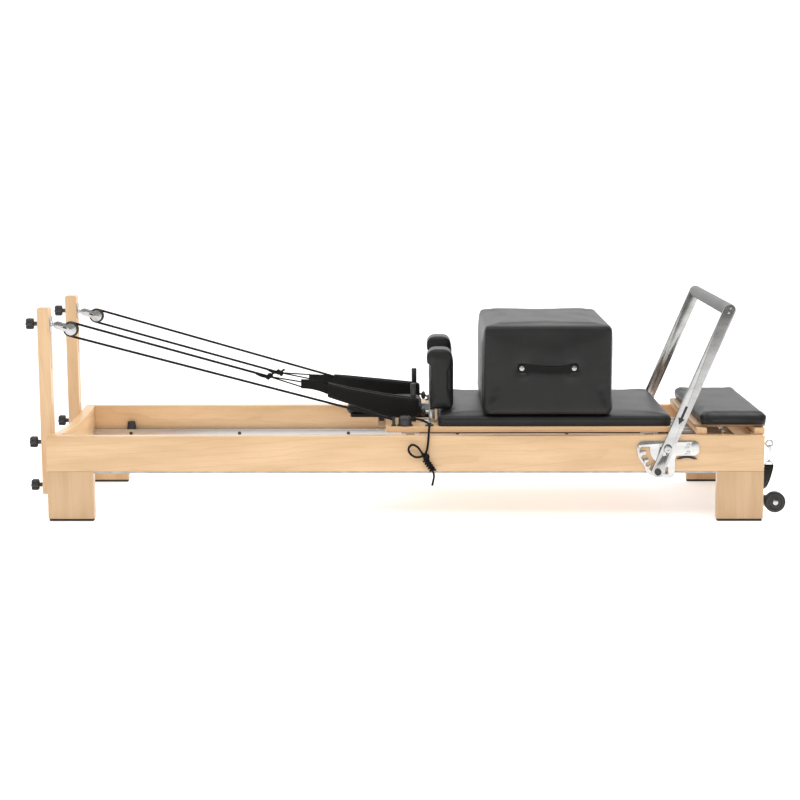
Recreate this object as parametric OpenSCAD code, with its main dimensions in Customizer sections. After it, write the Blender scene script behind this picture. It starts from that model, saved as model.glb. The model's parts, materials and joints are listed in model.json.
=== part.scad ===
// Pilates reformer: wooden frame, sprung carriage on tracks, two post pulleys, footbar and sitting box.
// The foot end is at +X, the near side at -Y, the floor at Z = 0. Pieces of the two sides mirror each other.

/* [Frame] */
// Length of the frame
frame_l = 2400; // [2300:10:2500]
// Width over the side rails
frame_w = 720; // [700:5:760]
// Height of the rails' top edge above the floor
rail_top = 290; // [285:1:300]
// Height of a side rail
rail_h = 120; // [110:1:130]
// Thickness of a side rail and of a leg
rail_t = 35; // [30:1:38]
// Width of a leg along the rail
leg_w = 155; // [120:1:180]
// Depth of the scoop in the head end board
scoop = 20; // [5:1:40]

/* [Posts and pulleys] */
// Half the distance between the posts
post_y = 232; // [210:1:245]
// Top of the posts
post_top = 711; // [690:1:740]
// Section of a post along the frame and across it
post_size = [40, 45];
// Height of the sheave's centre
sheave_z = 637; // [625:1:650]
// Diameter of the ropes
rope_d = 8; // [6:0.5:10]

/* [Carriage] */
// Length of the carriage board
board_l = 955; // [940:1:960]
// Half width of the carriage board and pad
board_half = 322; // [315:1:323]
// Thickness of the carriage board
board_t = 19; // [15:1:19]
// Thickness of the carriage pad
pad_t = 42; // [35:1:42]
// Height of the shoulder rests' top
shoulder_top = 570; // [550:1:600]

/* [Footbar] */
// Distance from the pivot to the middle of the grip
bar_reach = 501; // [490:1:505]
// Angle of the arms from the vertical, leaning to the foot end
bar_lean = 22.8; // [20:0.1:25]
// Width and thickness of an arm
arm_size = [40, 8];
// How far the bar lifts along its arms to clear the comb
bar_lift = 18; // [12:1:18]

/* [Sitting box] */
// Length, depth across the frame and height of the box
box_size = [435, 605, 304];

/* [Hidden] */
$fn = 48;

maple = [0.87, 0.72, 0.53];
black = [0.12, 0.12, 0.12];
steel = [0.78, 0.79, 0.8];
grey = [0.6, 0.6, 0.61];

half_l = frame_l / 2;
half_w = frame_w / 2;
inner_y = half_w - rail_t;           // inner face of a rail
rail_low = rail_top - rail_h;
foot_h = 8;                          // rubber under a leg
end_low = 40;                        // lower edge of the end boards
scoop_r = (inner_y * inner_y + scoop * scoop) / (2 * scoop);

track_w = 35;
track_low = 176;
track_top = 206;
track_y = inner_y - track_w / 2;     // middle of a track
track_screw_pitch = 405;
stop_x = -1026;

post_x = -half_l - post_size[0] / 2;
post_low = 72;
knob_d = 40;
knob_len = 40.5;                     // from the post to the end of a knob
knob_z = [101, 250, 656];            // low, middle and top knob of a post
stud_d = 8;
slot_w = 9;                          // slot in the post for the pulley's stud

sheave_x = -1130;
sheave_r = 26;
groove_r = 23;                       // radius of the rope's middle line on the sheave
sheave_w = 13;
sheave_bore = 8.1;
swivel = [-1176, 0, 651];            // where the pulley block hangs on its eye

peg = [29, 200];                     // X and half distance of the strap pegs
cleat = [2, 297];                    // X and half distance of the rope cleats
board_low = 296;
board_x = -63;                       // head end of the carriage board
board_top = board_low + board_t;
pad_x = [104, 904];
wheel_r = 28;
wheel_z = track_top + 0.5 + wheel_r;
wheel_y = 307;
wheel_x = [20, 820];                 // rear (head side) and front (foot side) running wheels
shoulder_y = 195;
hinge = [90, 322];                   // X and Z of the headrest's hinge pin
prop_pin = [-83, 301.5];              // X and Z of the prop's pin

plate_t = 6;                         // comb plate
pivot = [876, 248];                  // X and Z of the footbar's pivot
pin_r = 83;                          // pivot to lock pin
arm_in = half_w + plate_t + 2;       // inner face of an arm
arm_out = arm_in + arm_size[1];
bushing_d = 20;

platform_x = [978, 1221];
batten_h = 21;
tw_x = 1246;                         // transport wheels
tw_z = 58;
tw_r = 35;
tw_y = 320;
eye_x = 1231;                        // eye bolts of the foot strap
eye_z = 250;
eye_y = 280;
spring_z = 262;

// Mirrors a piece of the near side to the far side as well
module both_sides() {
    children();
    mirror([0, 1, 0]) children();
}

// A round bar from p to q
module rod(p, q, d) {
    v = q - p;
    len = norm(v);
    translate(p) rotate([0, acos(v[2] / len), atan2(v[1], v[0])]) cylinder(h = len, d = d);
}

// A cylinder along Y from y0 to y1, centred on x, z
module cross_bar(x, z, y0, y1, d) {
    translate([x, y0, z]) rotate([-90, 0, 0]) cylinder(h = y1 - y0, d = d);
}

// A rectangle with round corners, from its lower left corner
module round_rect(w, h, r) {
    translate([r, 0]) square([w - 2 * r, h]);
    translate([0, r]) square([w, h - 2 * r]);
    for (x = [r, w - r], y = [r, h - r]) translate([x, y]) circle(r);
}

// A slab that lies flat, with round corners in plan
module slab(x0, x1, half, z0, z1, r) {
    translate([x0, -half, z0]) linear_extrude(z1 - z0) round_rect(x1 - x0, 2 * half, r);
}

// A shape drawn in X and Z, thick along Y from y0 to y1
module upright(y0, y1) {
    translate([0, y1, 0]) rotate([90, 0, 0]) linear_extrude(y1 - y0) children();
}

// ---------------------------------------------------------------- frame

module side_rail(y0) {
    color(maple) translate([-half_l, y0, rail_low]) cube([frame_l, rail_t, rail_h]);
}

module near_side_rail() { side_rail(-half_w); }
module far_side_rail() { side_rail(inner_y); }

module legs() {
    color(maple) both_sides()
        for (x = [-half_l, half_l - leg_w])
            translate([x, -half_w, foot_h]) cube([leg_w, rail_t, rail_low - foot_h]);
}

module foot_pads() {
    color(black) both_sides()
        for (x = [-half_l, half_l - leg_w])
            translate([x + 3, -half_w + 2, 0]) cube([leg_w - 6, rail_t - 4, foot_h]);
}

module end_board(x0) {
    translate([x0, -inner_y, end_low]) cube([rail_t, 2 * inner_y, rail_top - end_low]);
}

module head_end_board() {
    color(maple) difference() {
        end_board(-half_l);
        translate([-half_l - 1, 0, rail_top - scoop + scoop_r])
            rotate([0, 90, 0]) cylinder(h = rail_t + 2, r = scoop_r, $fn = 400);
        both_sides() for (z = [knob_z[0], knob_z[1]])
            translate([-half_l - 1, -post_y, z]) rotate([0, 90, 0]) cylinder(h = 26, d = stud_d);
    }
}

module foot_end_board() { color(maple) end_board(half_l - rail_t); }

module edge_strips() {
    color(grey) both_sides()
        translate([-half_l + leg_w, -half_w + 2, rail_low - 6])
            cube([frame_l - 2 * leg_w, rail_t - 4, 6]);
}

module tracks() {
    color(grey) both_sides()
        translate([-half_l + rail_t, -inner_y, track_low])
            cube([frame_l - 2 * rail_t, track_w, track_top - track_low]);
}

module track_screws() {
    color(black) both_sides()
        for (i = [0 : 5])
            cross_bar(stop_x + i * track_screw_pitch, 191, -inner_y + track_w,
                      -inner_y + track_w + 2, 13);
}

module track_stops() {
    color(black) both_sides()
        translate([stop_x, -track_y, track_top]) cylinder(h = 28, d1 = 34, d2 = 28);
}

// ---------------------------------------------------------------- posts and pulleys

module posts() {
    w = post_size[0];
    d = post_size[1];
    post_r = 6;
    color(maple) both_sides() difference() {
        translate([-half_l - w, 0, post_low])
            upright(-post_y - d / 2, -post_y + d / 2)
                union() {
                    square([w, post_top - post_low - post_r]);
                    translate([post_r, 0]) square([w - 2 * post_r, post_top - post_low]);
                    for (x = [post_r, w - post_r])
                        translate([x, post_top - post_low - post_r]) circle(post_r);
                }
        translate([-half_l - w - 1, -post_y - slot_w / 2, 500]) cube([w + 2, slot_w, 180]);
        for (z = [knob_z[0], knob_z[1]])
            translate([-half_l - w - 1, -post_y, z]) rotate([0, 90, 0])
                cylinder(h = w + 2, d = stud_d);
    }
}

// A six-lobed clamping knob with its axis along X and its stem towards +X
module star_knob() {
    grip_len = 30;
    rotate([0, -90, 0]) {
        cylinder(h = knob_len - grip_len, d = 17);
        translate([0, 0, knob_len - grip_len]) linear_extrude(grip_len) union() {
            circle(d = knob_d - 8);
            for (i = [0 : 5]) rotate(60 * i) translate([knob_d / 2 - 6, 0]) circle(6);
        }
    }
}

module post_knobs() {
    color(black) both_sides()
        for (z = [knob_z[0], knob_z[1]])
            translate([-half_l - post_size[0] - 0.5, -post_y, z]) {
                star_knob();
                rotate([0, 90, 0]) cylinder(h = post_size[0] + 24, d = stud_d);
            }
}

module top_knob(y) {
    color(black) translate([-half_l - post_size[0] - 0.5, y, knob_z[2]]) difference() {
        star_knob();
        translate([-18, 0, 0]) rotate([0, 90, 0]) cylinder(h = 20, d = stud_d + 0.1);
    }
}

module near_top_knob() { top_knob(-post_y); }
module far_top_knob() { top_knob(post_y); }

// The stud through the post, the plate on the post's face and the eye that holds the pulley block
module eye_plates() {
    plate_w = 34;
    plate_h = 50;
    color(steel) both_sides() translate([-half_l, -post_y, knob_z[2]]) {
        translate([-post_size[0] - 14, 0, 0]) rotate([0, 90, 0])
            cylinder(h = post_size[0] + 14, d = stud_d);
        rotate([90, 0, 90]) linear_extrude(3) translate([-plate_w / 2, -plate_h / 2])
            round_rect(plate_w, plate_h, 6);
        translate([3, 0, 0]) rotate([0, 90, 0]) cylinder(h = 6, d = 18);
        translate([9, 0, 0]) rotate([0, 90, 0]) cylinder(h = 6, d = 9);
        translate([swivel[0] + half_l - 2.7, 0, swivel[2] - knob_z[2] + 0.8])
            rotate([90, 0, 0]) rotate_extrude() translate([7, 0]) circle(2);
    }
}

// A pulley block: two cheeks on an axle, hung from the eye by a small cross pin
module pulley_blocks() {
    cheek_in = sheave_w / 2 + 1;
    cheek_t = 2.5;
    dx = sheave_x - swivel[0];
    dz = sheave_z - swivel[2];
    lean = atan2(dz, dx);
    len = norm([dx, dz]);
    color(steel) both_sides() translate([sheave_x, -post_y, sheave_z]) {
        for (s = [-1, 1])
            translate([0, s * (cheek_in + cheek_t / 2), 0])
                upright(-cheek_t / 2, cheek_t / 2)
                    difference() {
                        rotate(lean) union() {
                            circle(20);
                            translate([-len, -12]) square([len, 24]);
                            translate([-len, 0]) circle(12);
                        }
                        circle(4);
                        rotate(lean) translate([-27, -2.5]) square([14, 5]);
                    }
        cross_bar(0, 0, -cheek_in - cheek_t - 1.5, cheek_in + cheek_t + 1.5, 8);
        rotate([0, -lean, 0]) translate([-len, 0, 0])
            cross_bar(0, 0, -cheek_in - cheek_t - 1, cheek_in + cheek_t + 1, 4);
        rotate([0, -lean, 0]) translate([-len + 14, -cheek_in, -4]) cube([4, 2 * cheek_in, 8]);
    }
}

module sheave(y) {
    color(black) translate([sheave_x, y, sheave_z]) rotate([90, 0, 0])
        rotate_extrude() difference() {
            translate([sheave_bore / 2, -sheave_w / 2])
                square([sheave_r - sheave_bore / 2, sheave_w]);
            translate([groove_r, 0]) circle(rope_d / 2 + 0.5);
            translate([groove_r, -rope_d / 2 - 1.2]) square([5, rope_d + 2.4]);
        }
}

module near_sheave() { sheave(-post_y); }
module far_sheave() { sheave(post_y); }

// ---------------------------------------------------------------- ropes and hand straps

// Ends of the ropes: the knot at the hand strap and the guide in front of the cleat
near_knot = [-462, -222, 473];
far_knot = [-462, 222, 427];
guide = [-36, cleat[1], 336];

// Angle, in the sheave's plane, at which a rope leaves for a point; side is 1 above and -1 below
function leave(p, side) =
    let (dx = p[0] - sheave_x, dz = p[2] - sheave_z, r = norm([dx, dz]))
    atan2(dz, dx) + side * acos(groove_r / r);
function on_sheave(a, y) =
    [sheave_x + groove_r * cos(a), y, sheave_z + groove_r * sin(a)];

// A rope from its upper end round the sheave to its lower end
module reeved_rope(y, upper, lower) {
    a_up = leave(upper, 1);
    a_low = leave(lower, -1) + 360;
    turns = 16;
    tube(concat([upper],
                [for (i = [0 : turns]) on_sheave(a_up + (a_low - a_up) * i / turns, y)],
                [lower]), rope_d / 2, 10);
}

// The knot that joins a rope to the thin cords of its hand strap, clear of the rope's own end
knot_r = 8.5;
module strap_knot(knot, web_z) {
    translate(knot) sphere(knot_r);
    for (z = web_z) {
        web = [-354, knot[1] + (knot[1] > 0 ? -10 : 10), z];
        rod(knot + (knot_r + 0.5) * unit(web - knot) + [0, 0, z - web_z[1] > 0 ? 1 : -1], web, 3.5);
    }
}
// The end of a rope short of its knot, coming from the sheave
function short_of(knot) = knot + (knot_r + 0.4) * unit([sheave_x - knot[0], 0, sheave_z - knot[2]]);

near_web = [453, 436];
far_web = [421, 406];

module near_rope() {
    color(black) {
        reeved_rope(-post_y, short_of(near_knot), [guide[0], -guide[1], guide[2]]);
        strap_knot(near_knot, near_web);
    }
}

module far_rope() {
    color(black) {
        reeved_rope(post_y, guide, short_of(far_knot));
        strap_knot(far_knot, far_web);
    }
}

// A round tube swept along a list of points
function unit(v) = v / norm(v);
function heading(p, i) = unit(p[min(i + 1, len(p) - 1)] - p[max(i - 1, 0)]);
function side_of(h) = unit(cross(h, [0, 1, 0.01]));
function ring(p, i, r, n) =
    let (h = heading(p, i), u = side_of(h), v = cross(h, u))
    [for (k = [0 : n - 1]) p[i] + r * (cos(360 * k / n) * u + sin(360 * k / n) * v)];
module tube(p, r, n = 8) {
    m = len(p);
    points = [for (i = [0 : m - 1]) each ring(p, i, r, n)];
    sides = [for (i = [0 : m - 2], k = [0 : n - 1])
        [i * n + k, (i + 1) * n + k, (i + 1) * n + (k + 1) % n, i * n + (k + 1) % n]];
    first = [for (k = [0 : n - 1]) k];
    last = [for (k = [n - 1 : -1 : 0]) (m - 1) * n + k];
    polyhedron(points, concat(sides, [first, last]));
}

// Points on a smooth curve through a list of points, each stretch cut in steps
function curve(p, steps) = [
    for (i = [0 : len(p) - 2], s = [0 : steps - 1])
        let (t = s / steps, a = p[max(i - 1, 0)], b = p[i], c = p[i + 1],
             d = p[min(i + 2, len(p) - 1)])
        0.5 * (2 * b + (c - a) * t + (2 * a - 5 * b + 4 * c - d) * t * t
               + (3 * b - a - 3 * c + d) * t * t * t),
    p[len(p) - 1]
];

// The rope's free tail: out of the cleat, over the rail's edge, a hanging bow and a short end
tail_route = [
    [84, -322, 322], [84, -338, 321], [83, -354, 312], [81, -367, 290], [79, -369, 264],
    [75, -369, 242], [67, -370, 228], [51, -372, 221], [33, -374, 223], [18, -375, 236],
    [15, -375, 252], [26, -376, 263], [42, -378, 258], [55, -381, 243], [65, -382, 224],
    [73, -380, 205], [84, -376, 188], [95, -373, 174], [99, -371, 158], [97, -370, 142],
    [93, -370, 124]
];

module near_rope_tail() { color(black) tube(curve(tail_route, 3), rope_d / 2 - 0.3); }

// A flat loop round its peg: top and bottom are the strap's edges from the webbing to the peg
module hand_strap(y, top, bottom) {
    outline = concat(top, [for (i = [len(bottom) - 1 : -1 : 0]) bottom[i]]);
    outer = 22;
    wall = 8;
    color(black) difference() {
        upright(y - outer, y + outer) polygon(outline);
        translate([-240, y - outer + wall, 200])
            cube([peg[0] + 13 + 240, 2 * (outer - wall), 400]);
    }
}

module near_hand_strap() {
    hand_strap(-peg[1],
        [[-352, 455], [-265, 450], [-190, 431], [-60, 408], [22, 397], [50, 393]],
        [[-352, 434], [-265, 400], [-195, 379], [-70, 336], [0, 328], [50, 337]]);
}

module far_hand_strap() {
    hand_strap(peg[1],
        [[-352, 424], [-265, 424], [-184, 415], [-60, 403], [18, 395], [50, 390]],
        [[-352, 403], [-265, 376], [-195, 362], [-70, 340], [0, 328], [50, 337]]);
}

// ---------------------------------------------------------------- platform at the foot end

module platform_battens() {
    color(maple) for (x = [platform_x[0], platform_x[1] - 50])
        translate([x, -330, rail_top]) cube([34, 660, batten_h]);
}

module platform_board() {
    color(maple) slab(platform_x[0] - 6, platform_x[1] - 8, 300, rail_top + batten_h,
                      rail_top + batten_h + 9, 12);
}

module platform_pad() {
    color(black) slab(platform_x[0] + 6, platform_x[1], 325, rail_top + batten_h + 9, 360, 24);
}

// ---------------------------------------------------------------- footbar

// One radial slot of the comb: a is its direction from the pivot
module comb_slot(a, r0, r1, w) {
    rotate(a) {
        translate([r0, -w / 2]) square([r1 - r0, w]);
        translate([r1, 0]) circle(w / 2);
    }
}

rest_a = 270 - bar_lean;             // direction of the lock pin at rest
comb_a = [180, 200, 219, 232, rest_a];

module comb_plates() {
    rim = 100;
    color(steel) both_sides()
        translate([pivot[0], 0, pivot[1]]) upright(-half_w - plate_t, -half_w)
            difference() {
                union() {
                    translate([-62, -24]) round_rect(168, 50, 18);
                    intersection() {
                        circle(rim);
                        polygon([[-40, 26], [-80, 26], [-91, 22], [-98, 12], [-120, -8],
                                 [-101, -22], [-44, -104], [0, -104], [40, 0]]);
                    }
                    translate([-44, -62]) circle(30);
                    rotate(rest_a) translate([pin_r - 2, 0]) circle(20);
                    translate([9, -82]) circle(18);
                    translate([-20, -82]) square([46, 60]);
                }
                for (a = comb_a) comb_slot(a, 62, 84, 13.4);
                comb_slot(269, 62, 78, 10);
                intersection() {
                    difference() {
                        circle(72);
                        circle(58);
                    }
                    polygon([[0, 0], [-140, 14], [-140, -140], [-52, -140]]);
                }
                translate([78, -86]) circle(53);
                translate([0, 0]) circle(6.1);
                for (p = [[70, 11], [70, -13], [-22, 12]]) translate(p) circle(3);
            }
}

module footbar_bolts() {
    color(steel) both_sides() {
        for (p = [[70, 11], [70, -13], [-22, 12]])
            cross_bar(pivot[0] + p[0], pivot[1] + p[1], -half_w - plate_t - 1.4,
                      -half_w - plate_t, 12);
        cross_bar(pivot[0], pivot[1], -arm_out - 2, -half_w, 12);
        cross_bar(pivot[0], pivot[1], -arm_out - 8, -arm_out - 2, 26);
    }
}

// Rubber strip below the plate's tab, where the folded bar comes to rest
module bar_rests() {
    color(black) both_sides()
        translate([pivot[0], 0, pivot[1]]) upright(-half_w - plate_t - 1, -half_w - 0.5)
            difference() {
                translate([66, -86]) circle(61);
                translate([66, -89]) circle(57);
                translate([-20, -160]) square([180, 124]);
            }
}

module pivot_bushings() {
    color(steel) both_sides() difference() {
        cross_bar(pivot[0], pivot[1], -arm_out - 1.6, -half_w - plate_t - 0.4, bushing_d);
        cross_bar(pivot[0], pivot[1], -arm_out - 3, -half_w, 12.1);
    }
}

// Places a piece drawn along the arm, whose pivot is at the origin
module along_bar() {
    translate([pivot[0], 0, pivot[1]]) rotate([0, bar_lean, 0]) children();
}

module footbar_arms() {
    w = arm_size[0];
    color(steel) both_sides() along_bar() upright(-arm_out, -arm_in)
        difference() {
            union() {
                translate([-w / 2, -pin_r]) square([w, bar_reach + pin_r]);
                translate([0, -pin_r]) circle(w / 2);
                translate([0, bar_reach]) circle(w / 2);
            }
            circle(d = bushing_d + 0.2);
            translate([0, -bar_lift - 1]) circle(d = bushing_d + 0.2);
            translate([-bushing_d / 2 - 0.1, -bar_lift - 1]) square([bushing_d + 0.2, bar_lift + 1]);
        }
}

module footbar_tube() {
    color(steel) along_bar() difference() {
        cross_bar(0, bar_reach, -arm_in, arm_in, 30);
        cross_bar(0, bar_reach, -arm_in - 1, arm_in + 1, 25);
    }
}

module footbar_grip() {
    color(grey) along_bar() difference() {
        cross_bar(0, bar_reach, -arm_in + 0.5, arm_in - 0.5, 42);
        cross_bar(0, bar_reach, -arm_in, arm_in, 30);
    }
}

module grip_screws() {
    color(steel) both_sides() along_bar()
        for (s = [-8, 8]) cross_bar(s * 0.35, bar_reach + s, -arm_out - 2.5, -arm_out, 8);
}

module lock_pins() {
    color(black) both_sides() along_bar() {
        cross_bar(0, -pin_r, -arm_out - 15, -arm_out, 23);
        cross_bar(0, -pin_r, -arm_in, -arm_in + 1.2, 12);
    }
}

// ---------------------------------------------------------------- foot end fittings

module eye_bolts() {
    color(steel) both_sides() {
        translate([half_l, -eye_y, eye_z]) rotate([0, 90, 0]) cylinder(h = 20, d = 7);
        translate([half_l, -eye_y, eye_z]) rotate([0, 90, 0]) cylinder(h = 3, d = 18);
        translate([eye_x, -eye_y, eye_z]) rotate([90, 0, 0])
            rotate_extrude() {
                translate([11, 0]) circle(3.5);
                translate([7.4, -1.3]) square([3, 2.6]);
            }
    }
}

// A snap hook on each eye bolt and the D-ring that it holds
module snap_hooks() {
    wire = 4;
    color(steel) both_sides() translate([eye_x, -eye_y, -7.2]) {
        for (y = [-6, 6]) rod([0, y, 204], [0, y, 246], wire);
        translate([0, 0, 246]) rotate([0, -90, 0]) rotate([0, 0, -90])
            rotate_extrude(angle = 180) translate([6, 0]) circle(d = wire);
        translate([0, 0, 204]) rotate([0, -90, 0]) rotate([0, 0, 90])
            rotate_extrude(angle = 180) translate([6, 0]) circle(d = wire);
        translate([0, 0, 198]) cube([10, 7, 6], center = true);
        rod([-15, 0, 180], [15, 0, 180], wire);
        rod([-15, 0, 180], [-8, 0, 195], wire);
        rod([15, 0, 180], [8, 0, 195], wire);
        rod([-8, 0, 195], [8, 0, 195], wire);
    }
}

// Height of the slack foot strap at a distance y from the middle
function strap_z(y) = 58 + 110 * pow(abs(y) / eye_y, 3);

module foot_strap() {
    steps = 32;
    ys = [for (i = [0 : steps]) -eye_y + 2 * eye_y * i / steps];
    color(black) translate([eye_x - 16, 0, 0]) rotate([90, 0, 90]) linear_extrude(32)
        polygon(concat([for (y = ys) [y, strap_z(y)]],
                       [for (i = [steps : -1 : 0]) [ys[i] * 0.985, strap_z(ys[i]) - 4]]));
}

module wheel_brackets() {
    color(black) both_sides() {
        translate([half_l, -342, 28]) cube([4, 46, 62]);
        translate([half_l + 4, -304, 38]) cube([tw_x - half_l + 6, 4, 40]);
        cross_bar(tw_x, tw_z, -tw_y - 16, -304, 10);
        cross_bar(tw_x, tw_z, -tw_y - 16, -tw_y - 13, 18);
    }
}

module transport_wheel(y) {
    color(black) difference() {
        union() {
            cross_bar(tw_x, tw_z, y - 12, y + 12, 2 * tw_r);
        }
        cross_bar(tw_x, tw_z, y - 13, y + 13, 10.1);
        for (s = [-1, 1]) cross_bar(tw_x, tw_z, y + s * 12 - 4, y + s * 12 + 4, 44);
    }
    color(black) difference() {
        cross_bar(tw_x, tw_z, y - 12, y + 12, 22);
        cross_bar(tw_x, tw_z, y - 13, y + 13, 10.1);
    }
}

module near_transport_wheel() { transport_wheel(-tw_y); }
module far_transport_wheel() { transport_wheel(tw_y); }

// ---------------------------------------------------------------- carriage

module carriage_board() {
    color(maple) slab(board_x, board_x + board_l, board_half, board_low, board_top, 22);
}

module carriage_pad() {
    color(black) slab(pad_x[0], pad_x[1], board_half, board_top, board_top + pad_t, 24);
}

module wheel_forks() {
    ear_t = 4;
    color(steel) both_sides() for (x = wheel_x) {
        translate([x - 30, -wheel_y - 14, board_low - 4]) cube([60, 32, 4]);
        for (y = [-wheel_y - 14, -wheel_y + 14])
            translate([x - 14, y, wheel_z - 12]) cube([28, ear_t, board_low - wheel_z + 8]);
        cross_bar(x, wheel_z, -wheel_y - 15, -wheel_y + 19, 10);
    }
}

module running_wheels(x) {
    color(grey) both_sides() difference() {
        cross_bar(x, wheel_z, -wheel_y - 9, -wheel_y + 11, 2 * wheel_r);
        cross_bar(x, wheel_z, -wheel_y - 20, -wheel_y + 20, 10.1);
    }
}

module front_wheels() { running_wheels(wheel_x[1]); }
module rear_wheels() { running_wheels(wheel_x[0]); }

module headrest_board() {
    color(maple) {
        difference() {
            union() {
                slab(-190, hinge[0], 120, hinge[1] - 6, hinge[1] + 6, 12);
                translate([hinge[0] - 30, -120, hinge[1] - 6]) cube([30, 240, 12]);
                cross_bar(hinge[0], hinge[1], -120, 120, 12);
            }
            cross_bar(hinge[0], hinge[1], -121, 121, 6.1);
        }
        for (s = [-1, 1]) difference() {
            translate([prop_pin[0] - 9, s * 60 - 4, prop_pin[1] - 8]) cube([18, 8, hinge[1] - 6 - prop_pin[1] + 8]);
            cross_bar(prop_pin[0], prop_pin[1], s * 60 - 5, s * 60 + 5, 6.1);
        }
    }
}

module headrest_pad() {
    color(black) slab(-207, 60, 125, hinge[1] + 6, 364, 24);
}

// The pin in the headrest board's end and the two lugs that hold it on the carriage board
module headrest_hinge() {
    color(steel) {
        cross_bar(hinge[0], hinge[1], -128, 128, 6);
        for (s = [-1, 1])
            translate([hinge[0] - 7, s * 126 - 4, board_top]) cube([14, 8, 13]);
    }
}

// The wooden prop under the headrest, with its own pin
module headrest_prop() {
    half_t = 13.5;
    color(maple) difference() {
        upright(-54, 54) translate([prop_pin[0], prop_pin[1]]) {
            circle(half_t);
            translate([-half_t, 271 - prop_pin[1]]) square([2 * half_t, prop_pin[1] - 271]);
        }
        cross_bar(prop_pin[0], prop_pin[1], -55, 55, 6);
    }
    color(steel) cross_bar(prop_pin[0], prop_pin[1], -66, 66, 6);
}

module shoulder_pads() {
    r = 30;
    x1 = 164;
    z0 = board_top + pad_t + 3;
    color(black) both_sides() upright(-shoulder_y - 50, -shoulder_y + 50)
        union() {
            translate([86, z0]) square([x1 - 86, shoulder_top - r - z0]);
            translate([73, shoulder_top - 2 * r + 4]) square([x1 - 73, r - 4]);
            translate([73 + r, shoulder_top - r]) circle(r);
            translate([x1 - r, shoulder_top - r]) circle(r);
            translate([73 + r, shoulder_top - r]) square([x1 - 73 - 2 * r, r]);
        }
}

// Steel angle behind each shoulder rest, with the block that it is screwed to
shoulder_bolt = 32;    // height of the brackets' knobs over the board

module shoulder_brackets() {
    color(steel) both_sides() translate([0, -shoulder_y, board_top]) {
        translate([56, -25, 0]) cube([30, 50, 4]);
        translate([82, -25, 4]) cube([4, 50, 140]);
        translate([86, -25, 0]) cube([17, 50, 43]);
        translate([70, 0, shoulder_bolt]) rotate([0, 90, 0]) cylinder(h = 12, d = 8);
    }
}

module shoulder_knobs() {
    color(black) both_sides() translate([54, -shoulder_y, board_top + shoulder_bolt]) rotate([0, 90, 0]) {
        translate([0, 0, 6]) cylinder(h = 10, d = 30);
        cylinder(h = 6, d1 = 20, d2 = 30);
    }
}

module strap_pegs() {
    color(black) both_sides() translate([peg[0], -peg[1], board_top]) {
        cylinder(h = 127, d = 19);
        translate([0, 0, 127]) cylinder(h = 4, d1 = 19, d2 = 14);
    }
}

// A domed clamp, with the rope's guide in front of it and its eye behind, each on its base
module rope_cleats() {
    color(black) both_sides() {
        for (x = [[-44, 16], [-24, 52], [70, 28]])
            translate([x[0], -cleat[1] - 14, board_top]) cube([x[1], 28, 3]);
        translate([cleat[0], -cleat[1], board_top + 3]) {
            cylinder(h = 24, d = 44);
            translate([0, 0, 24]) cylinder(h = 8, d1 = 44, d2 = 26);
        }
        difference() {
            translate([guide[0] - 5, -guide[1] - 9, board_top + 3]) cube([10, 18, 26]);
            translate([guide[0] - 6, -guide[1], guide[2]]) rotate([0, 90, 0])
                cylinder(h = 12, d = rope_d + 4.5);
        }
        translate([84, -cleat[1] - 12, board_top + 3]) rotate([90, 0, 0])
            translate([0, 4, -6]) cylinder(h = 12, d = 14);
    }
}

// ---------------------------------------------------------------- sitting box

box_x = 262;
box_y = -335;
box_low = board_top + pad_t + 1;

module sitting_box() {
    r = 20;
    color(black) translate([box_x, 0, box_low])
        upright(box_y, box_y + box_size[1]) round_rect(box_size[0], box_size[2], r);
}

// Strap handle on each end of the box, arched a little off the leather between its screws
module box_handle(y, side) {
    x0 = 392;
    x1 = 566;
    arch = 14;
    r = ((x1 - x0) * (x1 - x0) / 4 + arch * arch) / (2 * arch);
    translate([(x0 + x1) / 2, y, 500]) intersection() {
        translate([0, -side * (r - arch), 0]) difference() {
            cylinder(h = 28, r = r, $fn = 200);
            translate([0, 0, -1]) cylinder(h = 30, r = r - 4, $fn = 200);
        }
        translate([-(x1 - x0) / 2 + 4, side > 0 ? 0.4 : -40.4, 0]) cube([x1 - x0 - 8, 40, 28]);
    }
    for (x = [x0, x1]) translate([x - 12, side > 0 ? y : y - 3, 500]) cube([24, 3, 28]);
}

module box_handles() {
    color(black) {
        box_handle(box_y, -1);
        box_handle(box_y + box_size[1], 1);
    }
}

module box_screws() {
    color(steel) for (x = [392, 566]) {
        cross_bar(x, 514, box_y - 6, box_y - 3, 15);
        cross_bar(x, 514, box_y + box_size[1] + 3, box_y + box_size[1] + 6, 15);
    }
}

// ---------------------------------------------------------------- springs

spring_x = [866, 1096];

// Steel bar under the platform with a peg for each spring
module spring_bar() {
    color(steel) {
        cross_bar(spring_x[1] + 22, spring_z, -inner_y, inner_y, 22);
        for (i = [-2 : 2]) rod([spring_x[1] + 2, i * 70, spring_z], [spring_x[1] + 14, i * 70, spring_z], 8);
    }
}

module springs() {
    color(steel) for (i = [-2 : 2])
        rod([spring_x[0], i * 70, spring_z], [spring_x[1], i * 70, spring_z], 24);
}

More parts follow.
